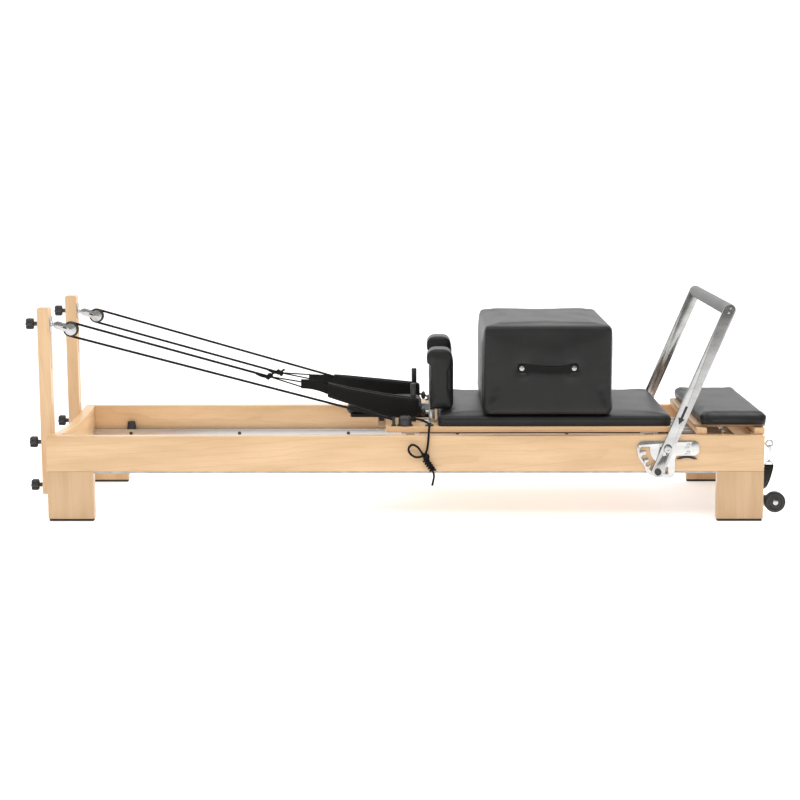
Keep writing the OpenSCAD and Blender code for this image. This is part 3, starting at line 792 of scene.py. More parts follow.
def band(name, stations, crown=0.45, around=16):
    """A strap through stations of (centre, half its width, half its thickness) as vectors."""
    mesh = bmesh.new()
    uv = mesh.loops.layers.uv.new("UVMap")
    rings, reach, run = [], [], 0.0
    wide = stations[0][1].length
    for i, (centre, across, out) in enumerate(stations):
        if i:
            run += (centre - stations[i - 1][0]).length
        reach.append(run)
        loop = []
        for k in range(around):
            c, s = math.cos(2 * math.pi * k / around), math.sin(2 * math.pi * k / around)
            loop.append(
                mesh.verts.new(
                    centre
                    + across * math.copysign(abs(c) ** crown, c)
                    + out * math.copysign(abs(s) ** crown, s)
                )
            )
        rings.append(loop)
    for i in range(len(rings) - 1):
        for k in range(around):
            n = (k + 1) % around
            face = mesh.faces.new((rings[i][k], rings[i + 1][k], rings[i + 1][n], rings[i][n]))
            face.smooth = True
            for loop, (j, v) in zip(face.loops, ((k, i), (k, i + 1), (k + 1, i + 1), (k + 1, i))):
                loop[uv].uv = (wide * math.cos(2 * math.pi * j / around), reach[v])
    mesh.faces.new(rings[0])
    mesh.faces.new(list(reversed(rings[-1])))
    bmesh.ops.recalc_face_normals(mesh, faces=mesh.faces[:])
    return built(name, mesh)


def stitches(name, points, out, length=3.2 * MM, gap=1.8 * MM, thick=0.45 * MM):
    """A row of sewn stitches along points, each a small lozenge that stands on the cloth."""
    mesh = bmesh.new()
    at, want, run = 0, length / 2, 0.0
    spots = []
    for a, b in zip(points, points[1:]):
        span = (b - a).length
        while want <= run + span and span > 0:
            spots.append((a.lerp(b, (want - run) / span), (b - a) / span, at))
            want += length + gap
        run += span
        at += 1
    for spot, ahead, index in spots:
        normal = out[index] if isinstance(out, list) else out
        side = ahead.cross(normal).normalized() * thick
        half = ahead * (length / 2)
        lift = normal * thick
        ends = [mesh.verts.new(spot - half), mesh.verts.new(spot + half)]
        mids = [
            mesh.verts.new(spot + side),
            mesh.verts.new(spot + lift),
            mesh.verts.new(spot - side),
            mesh.verts.new(spot - lift),
        ]
        for k in range(4):
            mesh.faces.new((ends[0], mids[k], mids[(k + 1) % 4]))
            mesh.faces.new((ends[1], mids[(k + 1) % 4], mids[k]))
    bmesh.ops.recalc_face_normals(mesh, faces=mesh.faces[:])
    return built(name, mesh)


def between(node):
    """Lowest corner, highest corner and centre of a CAD node."""
    low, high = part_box(node)
    return low, high, (low + high) / 2


def swell(obj, low, voxel, cap, shrink=2.5 * MM, foot=True):
    """Upholstery: a fine skin blown up from inside as cloth, held flat where it rests."""
    modify(obj, "REMESH", mode="VOXEL", voxel_size=voxel)
    modify(obj, "SMOOTH", factor=0.5, iterations=3)
    modify(obj, "DISPLACE", strength=-shrink, mid_level=0.0)
    group = obj.vertex_groups.new(name="base")
    base = [v.index for v in obj.data.vertices if v.co.z < low.z + voxel * 0.6 + shrink]
    if foot:
        for i in base:
            obj.data.vertices[i].co.z = low.z
        group.add(base, 1.0, "REPLACE")
    rest = [v.co.copy() for v in obj.data.vertices]
    cloth = obj.modifiers.new("Cloth", "CLOTH")
    cloth.settings.quality = 4
    cloth.settings.mass = 0.3
    cloth.settings.tension_stiffness = 12
    cloth.settings.compression_stiffness = 12
    cloth.settings.shear_stiffness = 8
    cloth.settings.bending_stiffness = 1.5
    cloth.settings.use_pressure = True
    cloth.settings.uniform_pressure_force = sizes().pressure
    cloth.settings.effector_weights.gravity = 0
    cloth.settings.vertex_group_mass = "base"
    cloth.point_cache.frame_start = 1
    cloth.point_cache.frame_end = 20
    for moment in range(1, 21):
        bpy.context.scene.frame_set(moment)
    only(obj)
    bpy.ops.object.modifier_apply(modifier=cloth.name)
    bpy.context.scene.frame_set(1)
    for v, start in zip(obj.data.vertices, rest):
        moved = v.co - start
        if moved.length > cap:
            v.co = start + moved * (cap / moved.length)
    obj.vertex_groups.clear()
    modify(obj, "SUBSURF", levels=1, render_levels=1)
    obj.data.shade_smooth()
    return obj


def press_in(obj, spots, depth, width):
    """Presses dimples into cloth round spots of (point, direction)."""
    for v in obj.data.vertices:
        for point, way in spots:
            far = (v.co - point).length
            if far < 3 * width:
                v.co = v.co + way * depth * math.exp(-((far / width) ** 2))
    return obj


# ---------------------------------------------------------------- stage


# Camera: its place, its focal length in mm, and how far it turns, dips and rolls in degrees
CAMERA_PLACE = (0.076, -6.068, 1.262)
FOCAL_LENGTH = 78.1
TURN, DIP, ROLL = -0.90, 8.47, -0.21


class REFORMER_OT_stage(bpy.types.Operator):
    """Camera, pale floor and soft studio light"""

    bl_idname = "reformer.stage"
    bl_label = "Stage"

    def execute(self, context):
        turn, dip, roll = math.radians(TURN), math.radians(DIP), math.radians(ROLL)
        ahead = Vector(
            (math.sin(turn) * math.cos(dip), math.cos(turn) * math.cos(dip), -math.sin(dip))
        )
        right = ahead.cross(Vector((0, 0, 1))).normalized()
        up = right.cross(ahead)
        across = math.cos(roll) * right + math.sin(roll) * up
        above = math.cos(roll) * up - math.sin(roll) * right
        lens = bpy.data.cameras.new("camera")
        lens.sensor_width = 36
        lens.lens = FOCAL_LENGTH
        camera = bpy.data.objects.new("camera", lens)
        bpy.context.collection.objects.link(camera)
        camera.matrix_world = Matrix.Translation(CAMERA_PLACE) @ Matrix(
            (across, above, -ahead)
        ).transposed().to_4x4()
        context.scene.camera = camera

        bpy.ops.object.select_all(action="DESELECT")
        bpy.ops.mesh.primitive_plane_add(size=60, location=(0, 0, 0))
        floor = bpy.context.object
        floor.name = "floor"
        paint = Finish("pale_floor", (0.93, 0.93, 0.93), 0.7)
        haze = paint.noise(paint.place(), 0.4, 2.0)
        paint.colour(paint.mix((0.925, 0.925, 0.925), (0.935, 0.935, 0.935), haze))
        paint.shader.inputs["Emission Color"].default_value = (1, 1, 1, 1)
        paint.shader.inputs["Emission Strength"].default_value = 0.46
        floor.data.materials.append(paint.material)

        world = bpy.data.worlds.new("studio")
        world.use_nodes = True
        tree = world.node_tree
        ways = tree.nodes.new("ShaderNodeSeparateXYZ")
        tree.links.new(tree.nodes.new("ShaderNodeTexCoord").outputs["Generated"], ways.inputs[0])
        fade = tree.nodes.new("ShaderNodeMapRange")
        tree.links.new(ways.outputs["Y"], fade.inputs["Value"])
        for key, value in (("From Min", -0.75), ("From Max", 0.35), ("To Min", 0.3), ("To Max", 1.15)):
            fade.inputs[key].default_value = value
        tree.nodes["Background"].inputs["Color"].default_value = (1, 1, 1, 1)
        tree.links.new(fade.outputs["Result"], tree.nodes["Background"].inputs["Strength"])
        context.scene.world = world
        context.scene.view_settings.view_transform = "Standard"

        for name, place, aim, size, power in (
            ("key", (-0.3, -3.4, 3.5), (0.1, 0, 0.3), (4.4, 1.6), 92),
            ("top", (0.4, 0.9, 3.4), (0.2, 0, 0.3), (4.0, 1.4), 55),
            ("rim", (3.4, 2.2, 2.0), (0.3, 0, 0.4), (1.4, 1.4), 30),
        ):
            light = bpy.data.lights.new(name, "AREA")
            light.shape = "RECTANGLE"
            light.size, light.size_y = size
            light.energy = power
            lamp = bpy.data.objects.new(name, light)
            bpy.context.collection.objects.link(lamp)
            lamp.location = place
            lamp.rotation_euler = (Vector(aim) - Vector(place)).to_track_quat("-Z", "Y").to_euler()
        return {"FINISHED"}


# ---------------------------------------------------------------- wooden frame


class REFORMER_OT_wood(bpy.types.Operator):
    """Rails, legs, end boards, posts and battens with eased edges"""

    bl_idname = "reformer.wood"
    bl_label = "Wooden frame"

    def execute(self, context):
        edge = sizes().edge
        for node, finish in (
            ("near_side_rail", "maple_x"),
            ("far_side_rail", "maple_far"),
            # Painted shade: darker maple for the shade on the legs beneath the frame
            ("legs", "maple_z"),
            ("head_end_board", "maple_y"),
            ("foot_end_board", "maple_y"),
            ("posts", "maple_post"),
            ("platform_battens", "maple_y"),
            # Painted shade: darker plywood for the shade under the platform pad
            ("platform_board", "ply_dark"),
        ):
            refined(node, STUFF[finish], edge, 3)
        return {"FINISHED"}


class REFORMER_OT_tracks(bpy.types.Operator):
    """Aluminium tracks with their screws and stops, the grey strips and the feet"""

    bl_idname = "reformer.tracks"
    bl_label = "Tracks"

    def execute(self, context):
        refined("tracks", STUFF["aluminium"], 0.8 * MM)
        refined("edge_strips", STUFF["strip"], 0.5 * MM)
        refined("foot_pads", STUFF["rubber"], 1.5 * MM)
        low, high, middle = between("track_screws")
        heads = []
        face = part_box("tracks")[1].y - 35 * MM
        for i in range(6):
            x = low.x + 6.5 * MM + i * (high.x - low.x - 13 * MM) / 5
            for s in (1, -1):
                seat = Vector((x, s * face, middle.z))
                heads.append(screw("screw", seat, (0, -s, 0), 6.5 * MM, 2 * MM))
        finish_piece(
            join("track_screw_heads", *heads), "frame", STUFF["plastic"], ["track_screws"]
        )
        low, high, middle = between("track_stops")
        stop = turned(
            "track_stop_cones",
            [
                (0, 0),
                (0, 16.4 * MM),
                (1.2 * MM, 17 * MM),
                (24.5 * MM, 14.2 * MM),
                (27.4 * MM, 12.6 * MM),
                (28 * MM, 10 * MM),
                (28 * MM, 4 * MM),
                (22 * MM, 3.4 * MM),
                (22 * MM, 0),
            ],
            (middle.x, low.y + 17 * MM, low.z),
            (0, 0, 1),
        )
        finish_piece(both_sides(smooth(stop)), "frame", STUFF["rubber"], ["track_stops"])
        return {"FINISHED"}


# ---------------------------------------------------------------- pulley posts


class REFORMER_OT_knobs(bpy.types.Operator):
    """Star knobs on the posts"""

    bl_idname = "reformer.knobs"
    bl_label = "Post knobs"

    def execute(self, context):
        low, high, middle = between("near_top_knob")
        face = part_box("posts")[0].x - 0.5 * MM
        for node, y in (("near_top_knob", middle.y), ("far_top_knob", -middle.y)):
            piece = knob(node + "_star", (face, y, middle.z))
            stud = rod("stud", (face, y, middle.z), (face + 0.4 * MM, y, middle.z), 4 * MM)
            finish_piece(join(piece.name, piece, stud), BODY_OF[node], STUFF["plastic"], [node])
        low, high, _ = between("post_knobs")
        fixed = [
            knob("star", (face, middle.y, z)) for z in (low.z + 20 * MM, high.z - 20 * MM)
        ]
        piece = both_sides(join("post_knob_stars", *fixed))
        finish_piece(piece, "frame", STUFF["plastic"], ["post_knobs"])
        return {"FINISHED"}


class REFORMER_OT_pulleys(bpy.types.Operator):
    """Eye plates, pulley blocks and sheaves"""

    bl_idname = "reformer.pulleys"
    bl_label = "Pulleys"

    def execute(self, context):
        refined("eye_plates", STUFF["steel"], 0.6 * MM)
        refined("pulley_blocks", STUFF["steel"], 0.6 * MM)
        for node in ("near_sheave", "far_sheave"):
            low, high, middle = between(node)
            outer, half = (high.x - low.x) / 2, (high.y - low.y) / 2
            bore, hub = 4.05 * MM, 9 * MM
            profile = [
                (-half, bore),
                (-half, hub),
                (-half + 1.4 * MM, hub + 0.8 * MM),
                (-half + 1.4 * MM, outer - 6 * MM),
                (-half, outer - 5 * MM),
                (-half, outer - 0.5 * MM),
                (-half + 0.5 * MM, outer),
                (-half + 1.1 * MM, outer),
            ]
            profile += [
                (4.5 * MM * math.sin(math.radians(a)), outer - 3 * MM - 4.5 * MM * math.cos(math.radians(a)))
                for a in range(-75, 76, 15)
            ]
            profile += [(-along, radius) for along, radius in reversed(profile[:8])]
            piece = smooth(turned(node + "_wheel", profile, middle, (0, 1, 0), 56))
            finish_piece(piece, BODY_OF[node], STUFF["plastic"], [node])
        return {"FINISHED"}


# ---------------------------------------------------------------- ropes and hand straps

# Ends of the ropes: the knots at the hand straps and the guides in front of the cleats
KNOT = {"near": Vector((-0.462, -0.222, 0.473)), "far": Vector((-0.462, 0.222, 0.427))}
GUIDE = {"near": Vector((-0.036, -0.297, 0.336)), "far": Vector((-0.036, 0.297, 0.336))}
WEB_END = {"near": (0.453, 0.436), "far": (0.421, 0.406)}
WEB_X = -0.354


def leave(centre, radius, point, side):
    """Angle at which a rope leaves a sheave for a point, above it for side 1."""
    dx, dz = point.x - centre.x, point.z - centre.z
    return math.atan2(dz, dx) + side * math.acos(radius / math.hypot(dx, dz))


def reeved(centre, radius, upper, lower, step=0.018):
    """A rope's line: from one point over the sheave's far side to another."""
    a = leave(centre, radius, upper, 1)
    b = leave(centre, radius, lower, -1) + 2 * math.pi
    turn = 14
    arc = []
    for i in range(turn + 1):
        angle = a + (b - a) * i / turn
        arc.append(centre + radius * Vector((math.cos(angle), 0, math.sin(angle))))
    line = []
    for start, end in ((upper, arc[0]), (arc[-1], lower)):
        count = max(2, round((end - start).length / step))
        run = [start.lerp(end, i / count) for i in range(count + 1)]
        line.append(run)
    return line[0][:-1] + arc + line[1][1:]


def overhand(name, centre, radius, thick, turn=0.0):
    """A tight knot in a rope."""
    points = []
    for i in range(49):
        t = 2 * math.pi * i / 48
        knot = Vector(
            (
                math.sin(t) + 2 * math.sin(2 * t),
                math.cos(t) - 2 * math.cos(2 * t),
                -1.5 * math.sin(3 * t),
            )
        )
        points.append(centre + Matrix.Rotation(turn, 3, "Y") @ knot * (radius / 3))
    return tube(name, points, thick, 10)


class REFORMER_OT_ropes(bpy.types.Operator):
    """Braided ropes over the sheaves, their knots and the thin cords to the hand straps"""

    bl_idname = "reformer.ropes"
    bl_label = "Ropes"

    def execute(self, context):
        radius = sizes().rope / 2
        for side, s in (("near", -1), ("far", 1)):
            centre = between(side + "_sheave")[2]
            groove = 23 * MM
            knot, guide = KNOT[side], GUIDE[side]
            if side == "near":
                line = reeved(centre, groove, knot, guide)
            else:
                line = reeved(centre, groove, guide, knot)
            line = [p + Vector((0, centre.y - p.y, 0)) if p.x < centre.x else p for p in line]
            rope = tube(side + "_rope_line", line, radius, 14)
            finish_piece(rope, "carriage", STUFF["rope"], [side + "_rope"])
            rope.parent = None
            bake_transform(rope)
            ahead = (line[1] - line[0]) if side == "near" else (line[-2] - line[-1])
            ahead.normalize()
            under = Vector((0, 0, -5.2 * MM))
            double = [
                knot + ahead * (4 + 9 * i) * MM + under * math.sin(math.pi * min(1, (i + 1) / 6))
                for i in range(12)
            ]
            stub = [knot + Vector((2.2 * i, 0, 1.6 * i)) * MM for i in range(9)]
            lumps = join(
                side + "_rope_knot",
                overhand("knot", knot, 10.5 * MM, 4.6 * MM, 0.5 * s),
                tube("double", flow(double, 2), 4.1 * MM, 10),
                tube("stub", stub, 3.9 * MM, 10),
            )
            finish_piece(lumps, "carriage", STUFF["rope"], slot="black_rope")
            cords = []
            for z in WEB_END[side]:
                end = Vector((WEB_X + 0.002, knot.y - s * 10 * MM, z))
                way = [knot.lerp(end, i / 8) for i in range(9)]
                cords.append(tube("cord", way, 2.5 * MM, 8))
            thin = join(side + "_thin_cords", *cords)
            finish_piece(thin, "carriage", STUFF["cord"], slot="black_rope")
            for piece in (lumps, thin):
                piece.parent = None
                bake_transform(piece)
        return {"FINISHED"}


# Route of the rope's loose tail: from the eye down the rail, through its bow and knot, to its end
TAIL = (
    (84, -322, 322),
    (84, -338, 321),
    (83, -354, 312),
    (81, -367, 290),
    (79, -369, 264),
    (75, -369, 242),
    (67, -370, 228),
    (51, -372, 221),
    (33, -374, 223),
    (18, -375, 236),
    (15, -375, 252),
    (26, -376, 263),
    (42, -378, 258),
    (55, -381, 243),
    (65, -382, 224),
    (73, -380, 205),
    (84, -376, 188),
    (95, -373, 174),
    (99, -371, 158),
    (97, -370, 142),
    (93, -370, 124),
)


class REFORMER_OT_tail(bpy.types.Operator):
    """Loose tail of the near rope, tied in a bow"""

    bl_idname = "reformer.tail"
    bl_label = "Rope tail"

    def execute(self, context):
        points = flow([Vector(p) * MM for p in TAIL], 6)
        thick = 3.7 * MM
        tail = tube("rope_tail_line", points, thick, 12)
        bow = Vector((0.0725, -0.3765, 0.2245))
        wraps = [overhand("bow_knot", bow, 10.5 * MM, 3.7 * MM, 0.3)]
        turns = []
        for i in range(61):
            f = i / 60
            at = Vector((0.0695, -0.3765, 0.214)).lerp(Vector((0.0965, -0.3735, 0.174)), f)
            axis = Vector((0.02, 0.004, -0.039)).normalized()
            side = axis.cross(Vector((0, 1, 0))).normalized()
            other = axis.cross(side)
            angle = 2 * math.pi * 5 * f
            turns.append(at + 8.0 * MM * (math.cos(angle) * side + math.sin(angle) * other))
        wraps.append(tube("bow_wraps", turns, 3.6 * MM, 10))
        knot = join("rope_tail_knot", *wraps)
        finish_piece(tail, "carriage", STUFF["rope"], ["near_rope_tail"])
        finish_piece(knot, "carriage", STUFF["rope"], slot="black_rope")
        lead = [(20, -297, 337), (40, -299, 338), (62, -303, 333), (76, -308, 327), (84, -318, 322)]
        run = tube("cleat_rope_run", flow([Vector(p) * MM for p in lead], 5), thick, 12)
        finish_piece(both_sides(run), "carriage", STUFF["rope"], slot="black_rope")
        return {"FINISHED"}


# Edges of the hand straps, X and Z in mm: top and bottom, from the webbing's end to the peg
STRAP_EDGE = {
    "near": (
        ((-352, 455), (-265, 450), (-190, 431), (-60, 408), (22, 397), (50, 393)),
        ((-352, 434), (-265, 400), (-195, 379), (-70, 336), (0, 328), (50, 337)),
    ),
    "far": (
        ((-352, 424), (-265, 424), (-184, 415), (-60, 403), (18, 395), (50, 390)),
        ((-352, 403), (-265, 376), (-195, 362), (-70, 340), (0, 328), (50, 337)),
    ),
}


def height_at(edge, x):
    """Height of a strap's edge at x, both in metres."""
    x = x / MM
    for (x0, z0), (x1, z1) in zip(edge, edge[1:]):
        if x <= x1:
            t = max(0.0, (x - x0) / (x1 - x0))
            return (z0 + (z1 - z0) * t) * MM
    return edge[-1][1] * MM


def strap_line(y, start=-262 * MM):
    """Plan of a hand strap's padded sleeve: along one side, round the peg and back."""
    wide, turn_x = 18 * MM, 28 * MM
    plan = []
    for i in range(33):
        x = start + (turn_x - start) * i / 32
        pinch = min(1.0, (x - start) / 0.075)
        spread = wide * (0.25 + 0.75 * math.sin(pinch * math.pi / 2))
        plan.append(Vector((x, y - spread, 0)))
    for i in range(1, 16):
        angle = -math.pi / 2 + math.pi * i / 16
        plan.append(Vector((turn_x + wide * math.cos(angle), y + wide * math.sin(angle), 0)))
    back = [Vector((p.x, 2 * y - p.y, 0)) for p in plan[:33]]
    return plan + back[::-1]


class REFORMER_OT_hand_straps(bpy.types.Operator):
    """Padded hand straps round their pegs, with webbing, piping and stitches"""

    bl_idname = "reformer.hand_straps"
    bl_label = "Hand straps"

    def execute(self, context):
        for side, y in (("near", -0.2), ("far", 0.2)):
            top, bottom = STRAP_EDGE[side]
            plan = strap_line(y)
            stations, rims, seams, outs = [], ([], []), ([], []), []
            for i, p in enumerate(plan):
                a, b = plan[max(i - 1, 0)], plan[min(i + 1, len(plan) - 1)]
                ahead = (b - a).normalized()
                out = Vector((ahead.y, -ahead.x, 0))
                high, low = height_at(top, p.x), height_at(bottom, p.x)
                tuck = 3 * MM * (0.5 + 0.5 * math.sin(i * 0.9))
                middle = Vector((p.x, p.y, (high + low) / 2))
                half = Vector((0, 0, (high - low) / 2 - 2 * MM))
                stations.append((middle, half, out * 3.8 * MM))
                rims[0].append(middle + half + out * (0.1 * tuck))
                rims[1].append(middle - half)
                seams[0].append(middle + half - Vector((0, 0, 5 * MM)) + out * 3.7 * MM)
                seams[1].append(middle - half + Vector((0, 0, 5 * MM)) + out * 3.7 * MM)
                outs.append(out)
            sleeve = band(side + "_hand_sleeve", stations, 0.5, 20)
            finish_piece(sleeve, "carriage", STUFF["web"], [side + "_hand_strap"])
            piping = join(
                side + "_sleeve_piping", *[tube("rim", rim, 2.1 * MM, 10) for rim in rims]
            )
            finish_piece(piping, "carriage", STUFF["leather"], slot="upholstery")
            sewn = join(
                side + "_sleeve_stitches",
                *[stitches("row", seam, outs) for seam in seams],
            )
            finish_piece(sewn, "carriage", STUFF["thread"], slot="black_webbing")
            straps = []
            half = (16 if side == "near" else 10.5) * MM
            start_z = (top[0][1] + bottom[0][1]) / 2 * MM
            for s in (-1, 1):
                tape = []
                for i in range(14):
                    t = i / 13
                    x = WEB_X + 0.118 * t
                    aim = (height_at(top, x) + height_at(bottom, x)) / 2 + s * 8 * MM * t
                    z = start_z * (1 - t) + aim * t
                    spread = s * (1.6 * MM + 3.5 * MM * t * t)
                    tape.append(
                        (Vector((x, y + spread, z)), Vector((0, 0, half)), Vector((0, 1.3 * MM, 0)))
                    )
                straps.append(band("tape", tape, 0.35, 12))
            tapes = join(side + "_strap_webbing", *straps)
            finish_piece(tapes, "carriage", STUFF["web"], slot="black_webbing")
            for piece in (sleeve, piping, sewn, tapes):
                piece.parent = None
                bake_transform(piece)
        low, high, middle = between("strap_pegs")
        reach = high.z - low.z
        peg = turned(
            "strap_peg_posts",
            [
                (0, 0),
                (0, 9.5 * MM),
                (reach * 0.62, 9.5 * MM),
                (reach * 0.62 + 1 * MM, 8.6 * MM),
                (reach * 0.62 + 2 * MM, 9.3 * MM),
                (reach - 2.5 * MM, 9.3 * MM),
                (reach - 0.8 * MM, 8.4 * MM),
                (reach, 6.5 * MM),
                (reach, 0),
            ],
            (middle.x, low.y + 9.5 * MM, low.z),
            (0, 0, 1),
            40,
        )
        finish_piece(both_sides(smooth(peg)), "carriage", STUFF["plastic"], ["strap_pegs"])
        return {"FINISHED"}


# ---------------------------------------------------------------- upholstery


def rounded_loop(low, high, corner, z, grow=0.0, step=6 * MM):
    """Points round a rectangle with round corners, at height z."""
    x0, x1, y0, y1 = low.x - grow, high.x + grow, low.y - grow, high.y + grow
    r = corner + grow
    points = []
    for cx, cy, turn in (
        (x1 - r, y1 - r, 0),
        (x0 + r, y1 - r, 90),
        (x0 + r, y0 + r, 180),
        (x1 - r, y0 + r, 270),
    ):
        for k in range(13):
            angle = math.radians(turn + 90 * k / 12)
            points.append(Vector((cx + r * math.cos(angle), cy + r * math.sin(angle), z)))
    points.append(points[0])
    return even(points, step)


def even(points, step):
    """The same line with its points a step apart."""
    out, left = [points[0]], step
    for a, b in zip(points, points[1:]):
        span = (b - a).length
        at = left
        while at < span:
            out.append(a.lerp(b, at / span))
            at += step
        left = at - span
    out.append(points[-1])
    return out


def on_skin(obj, points, lift):
    """Points moved onto the nearest place of a skin, and out of it by lift."""
    spots = []
    for p in points:
        spot, normal = obj.closest_point_on_mesh(p)[1:3]
        spots.append(spot + normal * lift)
    return spots


def sewn_seam(name, skin, points, thick=0.9 * MM, inset=0.3 * MM):
    """A tight cord of folded cloth that follows a seam on a skin."""
    spots = on_skin(skin, points, -inset)
    return tube(name, spots, thick, 6)


class REFORMER_OT_pads(bpy.types.Operator):
    """Leather pads of the carriage, the platform, the headrest and the shoulder rests"""

    bl_idname = "reformer.pads"
    bl_label = "Pads"

    def execute(self, context):
        for node, voxel, cap, corner, fill in (
            ("carriage_pad", 8 * MM, 5 * MM, 24 * MM, 0.9),
            ("platform_pad", 6 * MM, 5 * MM, 24 * MM, 0.9),
            ("headrest_pad", 5 * MM, 4.5 * MM, 20 * MM, 0.85),
        ):
            low, high, middle = between(node)
            skin = merged_copy(node, node + "_leather")
            round_edges(skin, 17 * MM, 5, 50)
            swell(skin, low, voxel, cap)
            finish_piece(skin, BODY_OF[node], STUFF["leather"], [node])
            line = rounded_loop(low, high, corner, low.z + 6 * MM)
            seam = sewn_seam(node + "_seam", skin, line)
            finish_piece(seam, BODY_OF[node], STUFF["leather"], slot=SLOT_OF[node])
        low, high, middle = between("shoulder_pads")
        skin = merged_copy("shoulder_pads", "shoulder_pads_leather")
        round_edges(skin, 20 * MM, 5, 50)
        swell(skin, low, 5 * MM, 4 * MM, foot=False)
        finish_piece(skin, "carriage", STUFF["leather"], ["shoulder_pads"])
        seams = []
        for s in (-1, 1):
            for y in (middle.y + s * 152 * MM, middle.y + s * 238 * MM):
                line = [
                    Vector((low.x + 14 * MM, y, low.z + 8 * MM)),
                    Vector((low.x + 14 * MM, y, high.z - 60 * MM)),
                ]
                arc = []
                for k in range(19):
                    angle = math.pi - math.pi * k / 18
                    arc.append(
                        Vector(
                            (
                                middle.x + 45 * MM * math.cos(angle),
                                y,
                                high.z - 32 * MM + 32 * MM * math.sin(angle),
                            )
                        )
                    )
                down = [Vector((high.x, y, high.z - 40 * MM)), Vector((high.x, y, low.z + 8 * MM))]
                seams.append(sewn_seam("seam", skin, even(line + arc + down, 5 * MM), 0.8 * MM))
        piping = join("shoulder_pads_seams", *seams)
        finish_piece(piping, "carriage", STUFF["leather"], slot="upholstery")
        return {"FINISHED"}


class REFORMER_OT_sitting_box(bpy.types.Operator):
    """Leather sitting box with dimples, seams, strap handles and their screws"""

    bl_idname = "reformer.sitting_box"
    bl_label = "Sitting box"

    def execute(self, context):
        low, high, middle = between("sitting_box")
        skin = merged_copy("sitting_box", "sitting_box_leather")
        round_edges(skin, 13 * MM, 4, 50)
        swell(skin, low, 9 * MM, 4 * MM, 2 * MM)
        screws = between("box_screws")
        ends = ((low.y, -1), (high.y, 1))
        xs = (screws[0].x + 7.5 * MM, screws[1].x - 7.5 * MM)
        for y, s in ends:
            spots = [(Vector((x, y, screws[2].z)), Vector((0, -s, 0))) for x in xs]
            press_in(skin, spots, 7.5 * MM, 19 * MM)
            below = [
                (Vector((x + (8 if x < middle.x else -8) * MM, y, screws[2].z - 24 * MM)), Vector((0, s, 0)))
                for x in xs
            ]
            press_in(skin, below, 4.0 * MM, 15 * MM)
        finish_piece(skin, "box", STUFF["leather"], ["sitting_box"])
        seams = []
        for x in (low.x + 6 * MM, high.x - 6 * MM):
            line = even(
                [Vector((x, low.y + 10 * MM, high.z)), Vector((x, high.y - 10 * MM, high.z))], 9 * MM
            )
            seams.append(sewn_seam("seam", skin, line, 0.7 * MM, 0.35 * MM))
        piece = join("sitting_box_seams", *seams)
        finish_piece(piece, "box", STUFF["leather"], slot="upholstery")

        handle_low, handle_high, handle_mid = between("box_handles")
        handles, heads, rows = [], [], []
        for y, s in ends:
            line = []
            count = 30
            reach = (handle_high.x - handle_low.x) / 2
            for i in range(count + 1):
                t = 2 * i / count - 1
                x = handle_mid.x + t * reach
                arch = max(0.0, 1 - (t / 0.82) ** 2) ** 0.8
                out = (1.0 + 9.5 * arch) * MM
                sag = -6.5 * MM * max(0.0, 1 - (t / 0.8) ** 2) * (1 + 0.75 * t)
                lean = 0.25 * arch
                half = Vector((0, -s * math.sin(lean), math.cos(lean))) * 13.2 * MM
                wall = Vector((0, s * math.cos(lean), math.sin(lean))) * 1.7 * MM
                centre = Vector((x, y + s * out, handle_mid.z + sag))
                line.append((centre, half, wall))
            handles.append(band("handle", line, 0.35, 14))
            for edge in (-1, 1):
                row = [c + edge * h * 0.82 + w for c, h, w in line]
                rows.append(stitches("row", row, [w.normalized() for _, _, w in line]))
            for x in xs:
                seat = Vector((x, y + s * 2.6 * MM, screws[2].z))
                heads.append(screw("screw", seat, (0, s, 0), 4.6 * MM, 3.6 * MM, 0.5, 8.0 * MM))
        straps = join("box_handle_straps", *handles)
        finish_piece(straps, "box", STUFF["web"], ["box_handles"])
        sewn = join("box_handle_stitches", *rows)
        finish_piece(sewn, "box", STUFF["thread"], slot="black_webbing")
        finish_piece(join("box_screw_heads", *heads), "box", STUFF["steel"], ["box_screws"])
        return {"FINISHED"}


# ---------------------------------------------------------------- carriage


